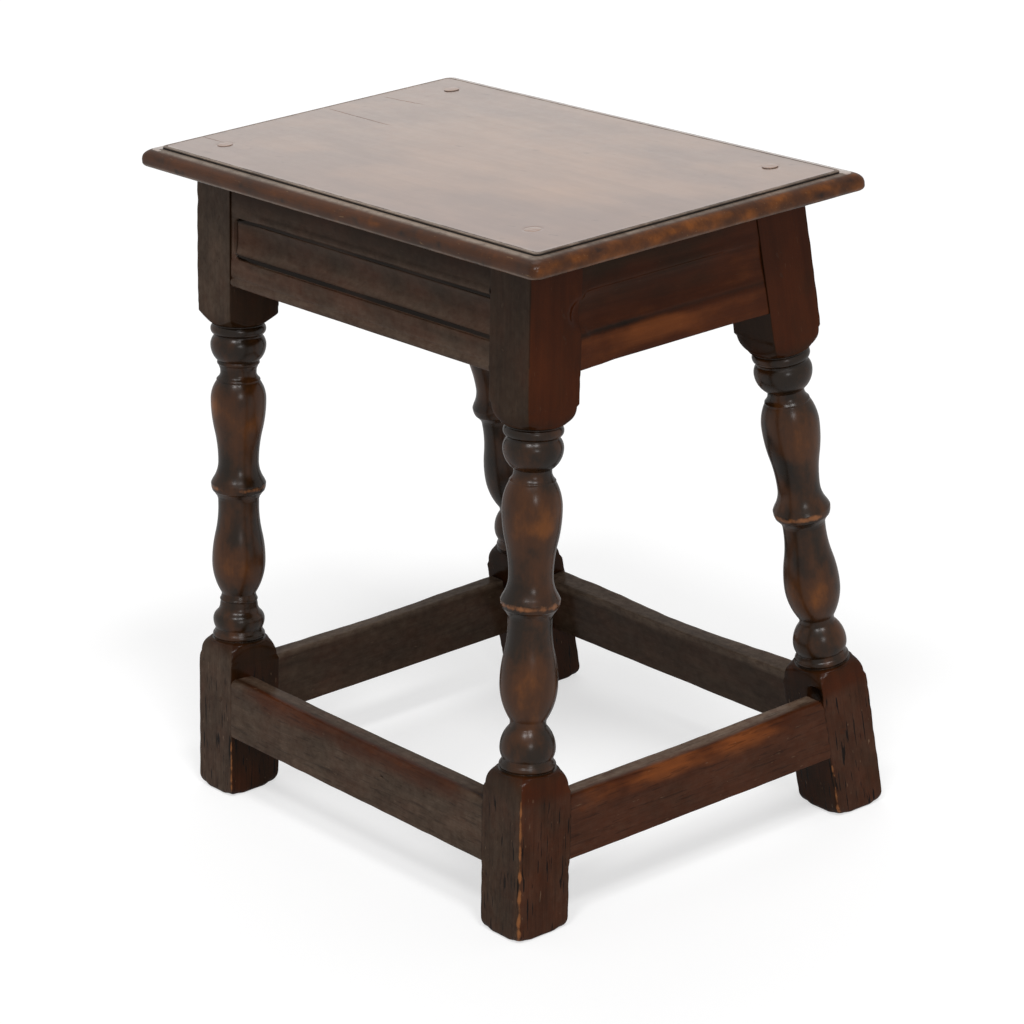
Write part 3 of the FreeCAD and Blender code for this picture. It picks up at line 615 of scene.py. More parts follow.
def makeLeg(sideName, endName, facts):
    # distance from the leaning axis = the lesser of the turned profile and the worn square section;
    # rows slide along the axis near both ends so that the leg is cut level
    side, end, seed = sides[sideName], ends[endName], facts["seed"]
    profileHeights, profileRadii = turnedProfile(facts["foot"], facts["neck"], facts["headCut"])
    profileRelief = profileRadii - blur(profileRadii, 50)         # stands out above 0, sinks in below
    heights, closing = legRows(profileHeights, profileRadii)
    share = np.linspace(-1, 1, legShape["columnsPerFace"] + 1)
    faceShare = share * (1.5 - 0.5 * share ** 2)
    angles = np.concatenate([np.arctan(faceShare)[:-1] + face * math.pi / 2 for face in range(4)])
    angle, height = np.meshgrid(np.r_[angles, angles[0] + 2 * math.pi], heights)
    profile = np.interp(height, profileHeights, profileRadii, left=1, right=1)
    relief = np.interp(height, profileHeights, profileRelief, left=0, right=0)
    way = places(np.cos(angle) * half, np.sin(angle) * half, height)

    signs = [(1, 1), (-1, 1), (-1, -1), (1, -1)]
    joints = [signs.index((-end, side)), signs.index((end, -side))]
    quarter = np.floor(angle / (math.pi / 2)).astype(int) % 4
    square = roundedSquare(angle, arrisRounds(heights, quarter, joints, facts["wornArris"], seed))
    lower = smoothStep(height, turnedFoot - 30 * mm, turnedFoot) * (height < turnedFoot + 15 * mm)
    upper = (1 - smoothStep(height, turnedHead, turnedHead + 30 * mm)) * (height > turnedHead - 15 * mm)
    shoulder = lower + upper * (0.35 if facts["headCut"] else 1)
    shoulder = legShape["shoulderSoft"] * shoulder * smoothStep(profile, half * 0.97, half * 1.1)
    radius = softMin(profile, square, shoulder)
    notched = np.zeros_like(height)
    for degrees, middle, reach, deep in facts["notches"]:
        bite = smoothStep(-angleFrom(angle, degrees), -0.34, -0.06)
        bite = bite * np.exp(-((height - middle) / reach) ** 4)
        radius = radius - deep * bite
        notched = np.maximum(notched, bite)
    radius = radius - footWear(angle, height, way, seed)
    radius *= 1 + 0.004 * ripple(way, 60 * mm, seed + 5)
    turned = smoothStep(height, turnedFoot, turnedFoot + 20 * mm)
    turned *= 1 - smoothStep(height, turnedHead - 20 * mm, turnedHead)
    radius *= 1 - 0.006 * turned * (1 + ripple(way, 90 * mm, seed + 6))
    radius = np.minimum(radius, square) * closing[:, None]

    local = places(radius * np.cos(angle), radius * np.sin(angle), height)
    slide = 1 - smoothStep(height, 0, turnedFoot * 0.9)
    slide += smoothStep(height, turnedHead + 10 * mm, legTopAlong - 20 * mm)
    local[..., 2] -= side * lean * local[..., 1] * slide
    placed = leanPlace(local, side)
    placed[..., 0] += end * legX
    if facts["coved"]:
        sinkCove(placed)
    marks = legMarks(facts, side, end, angle, height, way, local, relief, notched, turned)
    inset = legShape["varnishInset"]
    varnished = (heights[:-1] > turnedFoot + inset) & (heights[:-1] < turnedHead - inset)
    grain = local + np.array([0.31, 0.17, 0.53]) * seed
    return [sheet(placed, grain, varnished.astype(int)[:, None], **marks)]


# For each leg: the forms of its lower ball and of its neck below the top ball, how grey its front face
# is above and below, how polished the turning is, and how much lower its upper block ends in a straight
# cut. Warm spots on the turning are height share, direction, height and strength, the arris worn pale is
# its corner, how wide and how far up, and a notch is its direction, height, reach and depth.
plainLeg = {"foot": ballShares, "polish": 1, "headCut": 0, "warm": (), "wornArris": (), "notches": (),
            "coved": False}
legs = {
    ("front", "right"): {"seed": 3, "neck": plainNeckShares, "dust": (0.11, 0.17), "coved": True,
                         "wornArris": (3, 1, turnedFoot),
                         "warm": [(0.69, -38, 0.035, 0.45), (0.74, -15, 0.04, 0.25), (0.20, -25, 0.05, 0.3),
                                  (0.30, -60, 0.05, 0.25)]},
    ("front", "left"): {"seed": 14, "foot": bellShares, "neck": collarNeckShares, "dust": (0.26, 0.27),
                        "headCut": 5 * mm, "wornArris": (3, 0.5, stretcherFootAlong),
                        "warm": [(0.72, -95, 0.045, 0.4), (0.67, 5, 0.04, 0.35), (0.25, -40, 0.05, 0.3)]},
    ("back", "right"): {"seed": 25, "neck": plainNeckShares, "dust": (0.12, 0.2),
                        "wornArris": (3, 0.8, stretcherFootAlong),
                        "notches": [(-58, 113 * mm, 5.5 * mm, 5 * mm)],
                        "warm": [(0.68, -20, 0.05, 0.3), (0.26, -50, 0.05, 0.3)]},
    ("back", "left"): {"seed": 36, "neck": plainNeckShares, "dust": (0.14, 0.2), "polish": 0.3},
}

# Rails

railMoulding = {
    "fascia": 26.5 * mm, "fasciaSink": 1.1 * mm, "nose": 6.5 * mm, "quirk": 3.5 * mm, "quirkDepth": 3.6 * mm,
    "cove": 27.5 * mm, "coveSink": 5 * mm, "coveRise": 1.4 * mm, "fill": 4.4 * mm, "fillDepth": 3.4 * mm,
    "band": 14.8 * mm, "bandSink": 0.8 * mm, "beadQuirk": 1.3 * mm, "bead": 7.5 * mm, "thick": 24 * mm,
    "noseShare": 0.62, "coveShare": 0.8, "softening": 0.85 * mm, "endSoftening": 1.8 * mm, "endDepth": 0.6,
    "reach": 0.4 * mm, "stopStile": 4.6 * mm, "stopRound": 7 * mm, "stopGroove": 1.6 * mm,
    "curveStep": 0.1 * mm, "meshStep": 7 * mm, "swell": 0.22 * mm,
    # by the drop from the top: where painted shade lies in the quirk and the fill and how far it spreads,
    # and how grey the long rails and how warm the end rails are, partly from dust and rubbing and partly
    # painted light and shade: dark under the board, pale on the cove's foot and the bead
    "quirkShade": (35 * mm, 2.9 * mm), "fillShade": (66.2 * mm, 3.3 * mm),
    "longDrops": [0, 15, 28, 38, 50, 62, 69, 75, 82, 87, 92],
    "longDustAndShading": [0, 0.05, 0.24, 0.18, 0.22, 0.36, 0.22, 0.24, 0.32, 0.5, 0.3],
    "endDrops": [0, 20, 32, 46, 60, 66, 72, 92],
    "endRubAndShading": [0.08, 0.18, 0.32, 0.32, 0.54, 0.38, 0.64, 0.55],
    # the worn spot of the end rails: its place along the rail and down it, and its reach both ways
    "wornSpot": (-14 * mm, 77 * mm), "wornReach": (38 * mm, 8 * mm),
}


def railOutline(topSlope, softening):
    # closed section of a rail as depth in from the legs' face and drop from the top: straights and arcs
    m = railMoulding
    quirkTop = m["fascia"] + m["nose"]
    coveTop = quirkTop + m["quirk"]
    fillTop = coveTop + m["cove"]
    bandTop = fillTop + m["fill"]
    quirkFoot = bandTop + m["band"]
    beadTop = quirkFoot + m["beadQuirk"]
    sink, bandSink = m["fasciaSink"], m["bandSink"]
    nose = arcPoints((sink, m["fascia"]), (sink, quirkTop), m["nose"] * m["noseShare"], False)
    cove = arcPoints((m["coveSink"], coveTop), (m["coveRise"], fillTop), m["cove"] * m["coveShare"], True)
    beadSink = bandSink + m["beadQuirk"]
    bead = arcPoints((beadSink, beadTop), (beadSink, railHeight), m["bead"] * m["noseShare"], False)
    parts = [
        [(m["thick"], -m["thick"] * topSlope), (sink, -sink * topSlope)], nose,
        [(m["quirkDepth"], quirkTop), (m["quirkDepth"], coveTop)], cove,
        [(m["fillDepth"], fillTop), (m["fillDepth"], bandTop), (bandSink, bandTop), (bandSink, quirkFoot)],
        bead, [(m["thick"], railHeight), (m["thick"], -m["thick"] * topSlope)],
    ]
    fine = evenCurve(np.concatenate([np.asarray(part, float) for part in parts]), m["curveStep"])
    soft = softening / m["curveStep"]
    curve = np.stack([blur(fine[:, 0], soft, "wrap"), blur(fine[:, 1], soft, "wrap")], 1)
    curve[-1] = curve[0]
    return thinCurve(curve, 3 * mm, 12)


def stations(length, spacing, fine):
    # places along a piece from -1 to 1, close together near the ends
    middle = np.linspace(-1, 1, int(length / spacing) + 2)[1:-1]
    close = 1 - np.arange(0, 14, fine) * mm * 2 / length
    return np.unique(np.concatenate([middle, close, -close]))


def stopCove(depth, travel, drop):
    # the front rail's cove stops short of the left leg in a shallow round end with a groove about it;
    # inward is the distance inside that end's outline
    m = railMoulding
    top = m["fascia"] + m["nose"]
    foot = top + m["quirk"] + m["cove"] + m["fill"]
    beyond = travel + shoulderX - m["stopStile"]
    inside = np.minimum(drop - top, foot - drop)
    bendX, bendY = m["stopRound"] - beyond, m["stopRound"] - inside
    rounded = m["stopRound"] - np.hypot(bendX, bendY)
    inward = np.where((bendX > 0) & (bendY > 0), rounded, np.minimum(beyond, inside))
    within = smoothStep(inward, 0, 0.9 * mm)
    shallow = 0.3 + 0.7 * smoothStep(beyond, 3 * mm, 34 * mm)
    groove = hump(inward, 1.3 * mm, 0.9 * mm) * (1 - smoothStep(beyond, 4 * mm, 26 * mm))
    sink = m["fasciaSink"]
    stopped = sink + ((depth - sink) * shallow + groove * m["stopGroove"]) * within
    near = (drop > top - m["nose"] - 1 * mm) & (drop < foot + 0.6 * mm) & (beyond < 34 * mm)
    return np.where(near & (depth < m["thick"] / 2), stopped, depth), groove, inward


def railMarks(where, seed, travel, drop, way, dark, within):
    # painted shade along the quirk and the fill, painted shadow under the board, and dust and rubbing
    # with painted light and shade by the drop from the top
    m = railMoulding
    long = where in sides
    fade = 1 - 0.5 * smoothStep(travel, -50 * mm, 40 * mm) if where == "right" else 1
    soft = 1 + 0.3 * ripple(way * (0.3, 1, 1), 30 * mm, seed + 3)
    # painted shade in the quirk and the fill grooves
    quirkLine = hump(drop, *m["quirkShade"]) * (0.9 if long else 0.35) * soft
    fillLine = hump(drop, *m["fillShade"]) * (0.88 if long else 0.75) * fade * soft
    # painted shadow of the board on the rail's top
    boardShadow = smoothStep(-drop, -22 * mm, -2 * mm) * (0.55 if long else 0.8)
    dirt = np.maximum(np.maximum(quirkLine, fillLine) * within, np.maximum(dark, boardShadow))
    if long:
        # grey by the drop: partly dust, partly painted light and shade of the moulding
        dust = np.interp(drop / mm, m["longDrops"], m["longDustAndShading"])
        streaked = 1 + 1.2 * ripple(way * (0.4, 1, 1), 26 * mm, seed)
        rub = 0.12 + 0.14 * smoothStep(drop, 36 * mm, 50 * mm) * streaked
    else:
        dust = 0.02
        spot, spotReach = m["wornSpot"], m["wornReach"]
        worn = hump(travel, spot[0], spotReach[0]) * hump(drop, spot[1], spotReach[1])
        # warm by the drop: partly rubbing, partly painted light and shade of the moulding
        rub = np.interp(drop / mm, m["endDrops"], m["endRubAndShading"]) + 0.55 * worn
        rub = rub + 0.12 * ripple(way * (0.3, 1, 1), 18 * mm, seed + 4)
        rub = rub + 0.25 * smoothStep(travel, 10 * mm, 80 * mm) * smoothStep(-drop, -60 * mm, -40 * mm)
    return {"dirt": dirt, "rub": rub, "dust": dust, "open": 0.12}


def makeRail(name, seed):
    # the section carried from leg to leg; the end rails' shoulders follow the lean of the legs
    where = name.split("_")[1]
    long = where in sides
    m = railMoulding
    outline = railOutline(lean if long else 0, m["softening"] if long else m["endSoftening"])
    reach = shoulderX if long else innerY(railLow.z)
    depth, along = np.meshgrid(outline[:, 0], stations(reach * 2, m["meshStep"], 0.7))
    drop = np.broadcast_to(outline[:, 1], depth.shape)
    reachHere = np.full_like(depth, shoulderX) if long else innerY(frameTop - drop)
    travel = along * (reachHere + m["reach"])
    faced = smoothStep(-depth, -m["thick"] * 0.6, -m["thick"] * 0.4)
    dark = smoothStep(np.abs(travel) - reachHere, -1.6 * mm, -0.3 * mm)
    within = faced
    if where == "front":
        depth, groove, inward = stopCove(depth, travel, drop)
        within = faced * smoothStep(inward, 0, 1 * mm)
        # the groove round the stop is painted dark as shade
        dark = np.maximum(dark, groove * 0.7)
    if where == "right":
        opening = coveOpening(travel, frameTop - drop)
        flush = m["fasciaSink"] * smoothStep(travel + reachHere, 0, 18 * mm)
        farEnd = 0.2 + 0.8 * smoothStep(reachHere - travel, 3 * mm, 45 * mm)
        begun = flush + (depth - m["fasciaSink"]) * opening * m["endDepth"] * farEnd
        depth = np.where(depth < m["thick"] / 2, begun, depth)
        dark = dark * np.where(travel < 0, 0.05, 0.5)
    way = places(travel, depth, drop)
    depth = depth + faced * m["swell"] * (ripple(way * (1, 1, 2), 70 * mm, seed) + 0.6)
    if long:
        side = sides[where]
        placed = leanPlace(places(travel, side * (half - depth), railTopAlong - drop), side)
    else:
        placed = places(ends[where] * (outerX - depth), travel, frameTop - drop)
    grain = places(depth, drop, travel) + np.array([0.23, 0.41, 0.37]) * seed
    body = sheet(placed, grain, **railMarks(where, seed, travel, drop, way, dark, within))
    return [body] + [capSheet(body, row) for row in (0, -1)]


def capSheet(body, row):
    # closes the end of a carried section: its rim drawn in to its mean place
    rim, rimGrain = body["points"][row], body["grain"][row]
    middle, middleGrain = rim.mean(0), rimGrain.mean(0)
    shares = np.array([1, 0.5, 0])[:, None, None]
    points = middle + (rim - middle) * shares
    grain = middleGrain + (rimGrain - middleGrain) * shares
    return sheet(points, grain, dirt=0.8)


for (sideName, endName), facts in legs.items():
    label = f"leg_{sideName}_{endName}"
    leg = makeLeg(sideName, endName, {**plainLeg, **facts})
    makePiece("turned_" + label, leg, [frameWood, turnedWood], [label])
print("legs ready")
for index, where in enumerate(("front", "back", "left", "right")):
    name = "rail_" + where
    makePiece("moulded_" + name, makeRail(name, 51 + index), [frameWood], [name])
print("rails ready")

# Stretchers

stretcherShape = {
    "thick": 22 * mm,
    "rounds": (1.6 * mm, 1.2 * mm, 1.6 * mm, 5 * mm),      # outer foot, inner foot, inner head, outer head
    "outerHeadRounds": (3 * mm, 10 * mm),                  # the least and the most of it where it is worn
    "hollows": {"front": 1.5 * mm, "back": 5 * mm, "left": 2 * mm, "right": 2.5 * mm},
    "meshStep": 5 * mm,
    "tornBand": 11 * mm,               # from the top down to the foot of the torn arris
    "tightJoints": {"front": (0.15, 0.5), "right": (0.4, 0.1)},
    "crack": {"from": -43 * mm, "to": 51 * mm, "height": 29.5 * mm, "deep": 1.6 * mm, "wide": 0.5 * mm},
}


def boxRing(width, height, rounds, faceShares):
    # closed section, one for each row of the rounds: a quarter circle at each corner, from the outer foot
    # round by the inner foot, the inner head and the outer head, and a straight face after each
    arcs, parts = [], []
    corners = ((0, 0), (width, 0), (width, height), (0, height))
    for index, (cornerX, cornerY) in enumerate(corners):
        turn = np.radians(180 + 90 * index + np.linspace(0, 90, 9))
        radius = rounds[index][:, None]
        across = np.abs(cornerX - radius) + radius * np.cos(turn)
        up = np.abs(cornerY - radius) + radius * np.sin(turn)
        arcs.append(np.stack([across, up], -1))
    for index, shares in enumerate(faceShares):
        start, stop = arcs[index][:, -1:], arcs[(index + 1) % 4][:, :1]
        parts += [arcs[index], start + (stop - start) * shares[:, None]]
    ring = np.concatenate(parts + [arcs[0][:, :1]], 1)
    return ring[..., 0], ring[..., 1]


def stretcherMarks(where, seed, reach, travel, depth, up, way, sag, dirt):
    # the near ones have a torn upper arris, a warm uneven band with a dark line along its foot; the far
    # ones are rubbed along that arris
    long, hollow = where in sides, stretcherShape["hollows"][where]
    thick, tall = stretcherShape["thick"], stretcherHeight
    offFaces = np.minimum(np.abs(up - tall / 2) - tall / 2, np.abs(depth - thick / 2) - thick / 2)
    edge = smoothStep(offFaces, -2.6 * mm, -0.6 * mm)
    top = smoothStep(up - tall, -hollow - 3 * mm, -hollow - 0.5 * mm)
    if where in ("back", "left"):
        arris = smoothStep(np.minimum(9 * mm - depth, up - (tall - 8 * mm)), 0, 5 * mm)
        wear = np.maximum(arris * 0.25, edge * 0.15)
        return {"dirt": dirt, "wear": wear, "rub": 0.13 + 0.3 * arris, "dust": 0.2 + 0.35 * top, "open": 0.3}
    outer = smoothStep(-depth, -6 * mm, -2 * mm)
    rough = 0.7 * ripple(way * (0.5, 1, 1), 40 * mm, seed + 31)
    rough = rough + 0.3 * ripple(way * (0.35, 1, 1), 9 * mm, seed)
    bandFoot = tall - sag - stretcherShape["tornBand"] - 2 * rough * mm
    fade = 1 - smoothStep(np.abs(travel), reach - 50 * mm, reach - 10 * mm)
    torn = smoothStep(up - bandFoot, -8 * mm, 7 * mm) * smoothStep(-depth, -9 * mm, -5 * mm) * fade
    darkLine = hump(up, bandFoot, 0.8 * mm) * outer * fade * smoothStep(rough, 0, 0.4)
    # the right one is warmer all over: partly its colour, partly painted warm light on that end
    rub = 0.14 + (0.32 + 0.14 * rough) * (where == "right")
    rub = rub + (0.32 if where == "right" else 0.36) * torn * (1 + 0.7 * rough)
    innerTop = top * smoothStep(depth, 4 * mm, 12 * mm)
    # the front one's outer face is greyer: partly dust, partly painted sheen
    dust = (0.32 if long else 0.1) * outer * (1 - 0.7 * torn) + (0.35 if long else 0.65) * innerTop
    dirt = np.maximum(dirt, darkLine * 0.45)
    return {"dirt": dirt, "wear": torn * 0.1 + edge * 0.1, "rub": rub, "dust": dust, "open": 0.5}


def makeStretcher(name, seed):
    # a box section whose worn corners change along it, sunk in the middle where feet rested
    where = name.split("_")[1]
    long = where in sides
    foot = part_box(name)[0].z
    reach = shoulderX if long else innerY(foot)
    share = stations(reach * 2, stretcherShape["meshStep"], 1)
    hollow = stretcherShape["hollows"][where]
    thick, tall = stretcherShape["thick"], stretcherHeight
    along = share[:, None] * np.ones(3) * reach
    uneven = 0.3 if where in ("front", "right") else 0.15
    worn = [np.clip(size * (1 + uneven * ripple(along, 50 * mm, seed + index)), 0.5 * mm, None)
            for index, size in enumerate(stretcherShape["rounds"])]
    middle = hump(share, 0, 0.55)
    more = 0 if long else 2.5 * mm
    worn[3] = np.clip(worn[3] + hollow * 0.4 * middle + more, *stretcherShape["outerHeadRounds"])
    even, outerFace = np.linspace(0, 1, 9)[1:-1], np.linspace(0, 1, 14)[1:-1]
    crack = stretcherShape["crack"]
    if where == "front":
        close = 1 - (crack["height"] + np.arange(-1.8, 1.8, 0.2) * mm) / tall
        outerFace = np.unique(np.r_[outerFace, close])
    depth, up = boxRing(thick, tall, worn, (even, outerFace, even, outerFace))
    reachHere = np.full_like(depth, shoulderX) if long else innerY(foot + up)
    travel = share[:, None] * (reachHere + railMoulding["reach"])
    sag = hollow * middle[:, None]
    outerShare = np.clip(1 - depth / thick, 0, 1)
    up = up - sag * smoothStep(up, tall * 0.6, tall) * (0.25 + 0.75 * outerShare ** 1.2)
    way = places(travel, depth, up)
    swell = np.clip(0.3 * mm * (ripple(way, 60 * mm, seed + 7) + 0.5), 0, None)
    depth = depth + np.where(depth < thick / 2, swell, -swell)
    dirt = smoothStep(np.abs(travel) - reachHere, -1.5 * mm, -0.3 * mm)
    if where in stretcherShape["tightJoints"]:
        dirt = dirt * np.where(travel < 0, *stretcherShape["tightJoints"][where])
    if where == "front":
        crackLine = crack["height"] + 0.8 * mm * np.sin(travel / (14 * mm)) - travel * 0.01
        groove = hump(up, crackLine, crack["wide"] / 2) * (depth < 3 * mm)
        groove = groove * smoothStep(travel, crack["from"], crack["from"] + 12 * mm)
        groove = groove * (1 - smoothStep(travel, crack["to"] - 12 * mm, crack["to"]))
        depth = depth + groove * crack["deep"]
        dirt = np.maximum(dirt, groove)
    if long:
        side = sides[where]
        placed = leanPlace(places(travel, side * (half - depth), stretcherFootAlong + up), side)
    else:
        placed = places(ends[where] * (outerX - depth), travel, foot + up)
    grain = places(depth, up, travel) + np.array([0.29, 0.13, 0.47]) * seed
    body = sheet(placed, grain, **stretcherMarks(where, seed, reach, travel, depth, up, way, sag, dirt))
    return [body] + [capSheet(body, row) for row in (0, -1)]


for index, where in enumerate(stretcherShape["hollows"]):
    name = "stretcher_" + where
    makePiece("worn_" + name, makeStretcher(name, 71 + index), [frameWood], [name])
print("stretchers ready")

# Seat board

boardShape = {
    "mouldWidth": 14.4 * mm, "fillet": 1.7 * mm, "flat": 0.8 * mm, "noseHeight": 5.2 * mm, "noseBend": 2.5,
    "cornerRound": 7.5 * mm, "fieldRound": 3.5 * mm, "softening": 0.3 * mm, "footRound": 3.2 * mm,
    "fieldEdge": 3 * mm, "underEdge": 6 * mm, "curveStep": 0.05 * mm,
    # the field's grid: its step, and how far and how fine its lines lie about a peg, a shake or a corner
    "gridStep": 5 * mm, "leastStep": 0.12 * mm, "cornerStep": 1.2 * mm,
    "pegLines": (9 * mm, 1 * mm), "shakeLines": (2.6 * mm, 0.24 * mm),
    # shakes in the top, each from and to along the board, across it, and as deep and wide as given
    "shakes": [
        {"from": -247 * mm, "to": -148 * mm, "across": 15 * mm, "slope": -0.02, "deep": 0.9 * mm},
        {"from": -243 * mm, "to": -183 * mm, "across": 69.5 * mm, "slope": 0.08, "deep": 0.7 * mm},
        {"from": -256 * mm, "to": -212 * mm, "across": -108.5 * mm, "slope": 0.02, "deep": 0.7 * mm},
    ],
    "shakeWidth": 0.55 * mm,
    "unevenness": 0.12 * mm,
    "rubbedMiddle": 40 * mm,           # where sitters rubbed the top, and how far that reaches both ways
    "rubbedReach": (190 * mm, 110 * mm),
}
seatPegShares = {
    ("front", "left"): (0.245, 0.449), ("front", "right"): (0.571, 0.5),
    ("back", "left"): (0.245, 0.245), ("back", "right"): (0.5, 0.245),
}
seatPegPlaces = {
    (sideName, endName): (ends[endName] * (outerX - legSize * endShare),
                          sides[sideName] * (stance["topWidth"] / 2 - legSize * sideShare))
    for (sideName, endName), (endShare, sideShare) in seatPegShares.items()
}


def boardEdge():
    # section of the edge from the field out and down: a step, a flat, a thumb-shaped curve whose across
    # and down shares raised to the bend add up to 1, the nose, and a round under it
    b = boardShape
    stepFoot = boardThick - b["fillet"]
    start = b["mouldWidth"] - b["flat"]
    turn = np.linspace(0, math.pi / 2, 90)
    across = start * (1 - np.sin(turn) ** (2 / b["noseBend"]))
    up = b["noseHeight"] + (stepFoot - b["noseHeight"]) * np.cos(turn) ** (2 / b["noseBend"])
    under = arcPoints((0, b["footRound"]), (b["footRound"], 0), b["footRound"] * 1.1, True)
    inner = b["mouldWidth"]
    field = [(inner + b["fieldEdge"], boardThick), (inner, boardThick), (inner, stepFoot)]
    parts = [field, np.stack([across, up], 1), under, [(b["underEdge"], 0)]]
    fine = evenCurve(np.concatenate(parts), b["curveStep"])
    soft = b["softening"] / b["curveStep"]
    curve = np.stack([blur(fine[:, 0], soft), blur(fine[:, 1], soft)], 1)
    curve[0], curve[-1] = fine[0], fine[-1]
    return thinCurve(curve, 2 * mm, 9)


def gridLines(reach, spacing, close):
    # even lines across the field, with fine ones around the given places
    lines = [np.linspace(-reach, reach, int(2 * reach / spacing))]
    for place, width, fine in close:
        lines.append(place + np.arange(-width, width + fine / 2, fine))
    lines = np.sort(np.concatenate(lines))
    lines = lines[np.abs(lines) <= reach + 1e-9]
    return lines[np.r_[True, np.diff(lines) > boardShape["leastStep"]]]


def ringLines(lines, field, reach, bend):
    # the field's lines moved out to a ring: the straight part and the corner squares each keep their share
    straight = field - boardShape["fieldRound"]
    inner = lines / straight * (reach - bend)
    outer = np.sign(lines) * (reach - bend + (np.abs(lines) - straight) / boardShape["fieldRound"] * bend)
    return np.where(np.abs(lines) <= straight, inner, outer)


def roundCorners(x, y, reachX, reachY, bend):
    # each corner square drawn into a quarter disc: across by the root of 1 less half the other's square
    u = np.clip((np.abs(x) - reachX + bend) / bend, 0, None)
    v = np.clip((np.abs(y) - reachY + bend) / bend, 0, None)
    roundX = np.sign(x) * (reachX - bend + bend * u * np.sqrt(1 - v ** 2 / 2))
    roundY = np.sign(y) * (reachY - bend + bend * v * np.sqrt(1 - u ** 2 / 2))
    corner = (u > 0) & (v > 0)
    return np.where(corner, roundX, x), np.where(corner, roundY, y)


def boardLines(fieldX, fieldY):
    # the grid's lines along the field and across it
    b = boardShape
    pegX, pegY = ([(place[axis], *b["pegLines"]) for place in seatPegPlaces.values()] for axis in (0, 1))
    shakes = [(shake["across"] + shake["slope"] * (shake["to"] - shake["from"]) / 2, *b["shakeLines"])
              for shake in b["shakes"]]
    for reach, close in ((fieldX, pegX), (fieldY, pegY + shakes)):
        corners = [(side * reach, b["fieldRound"], b["cornerStep"]) for side in (-1, 1)]
        yield gridLines(reach, b["gridStep"], close + corners)


def makeField(xLines, yLines, fieldX, fieldY):
    # a level grid, sunk a little by a slow ripple, by a bell-shaped cut at each shake and round each peg
    x, y = np.meshgrid(xLines, yLines, indexing="ij")
    x, y = roundCorners(x, y, fieldX, fieldY, boardShape["fieldRound"])
    flat = places(x, y, 0)
    sunk = boardShape["unevenness"] * (1 + ripple(flat * (0.6, 1, 1), 55 * mm, 5))
    dirt = np.zeros_like(x)
    for index, shake in enumerate(boardShape["shakes"]):
        line = shake["across"] + shake["slope"] * (x - shake["from"])
        line = line + 0.5 * mm * ripple(x[..., None] * np.ones(3), 22 * mm, 80 + index)
        cut = hump(y, line, boardShape["shakeWidth"] / 2)
        cut = cut * smoothStep(x, shake["from"], shake["from"] + 12 * mm)
        cut = cut * (1 - smoothStep(x, shake["to"] - 25 * mm, shake["to"]))
        sunk = sunk + cut * shake["deep"]
        dirt = np.maximum(dirt, cut)
    for place in seatPegPlaces.values():
        apart = np.hypot(x - place[0], y - place[1])
        sunk = sunk + 0.25 * mm * hump(apart, 6.8 * mm, 1.2 * mm)
    fromRim = np.minimum(fieldX - np.abs(x), fieldY - np.abs(y))
    sunk = sunk * smoothStep(fromRim, 0, 3 * mm)
    border = 1 - smoothStep(fromRim, 0, 20 * mm)
    reachX, reachY = boardShape["rubbedReach"]
    away = np.hypot((x - boardShape["rubbedMiddle"]) / reachX, y / reachY)
    # the top is darker towards the near right corner, warmer and paler towards the far left
    nearness = smoothStep((x / boardHigh.x - y / boardHigh.y) / 2, -0.6, 0.9)
    rub = 0.66 - 0.5 * smoothStep(away, 0.3, 1.25) + 0.3 * ripple(flat * (0.6, 1, 1), 70 * mm, 31)
    rub = rub - 0.2 * nearness
    spots = smoothStep(ripple(flat * (0.7, 1, 1), 11 * mm, 33), 0.78, 1.2)
    dirt = np.maximum(np.maximum(dirt, spots * 0.5), border * 0.12)
    height = boardHigh.z - sunk
    grain = places(y + 0.3, height, x + 0.2)
    return sheet(places(x, y, height), grain, dirt=dirt, rub=rub, dust=0.30 - 0.30 * nearness, open=0.1)


def ringAt(depth, inset):
    # how far the ring at a depth in from the edge reaches both ways, and the round of its corners
    share = min(depth / inset, 1)
    bend = boardShape["cornerRound"] * (1 - share) + boardShape["fieldRound"] * share
    return boardHigh.x - depth, boardHigh.y - depth, bend


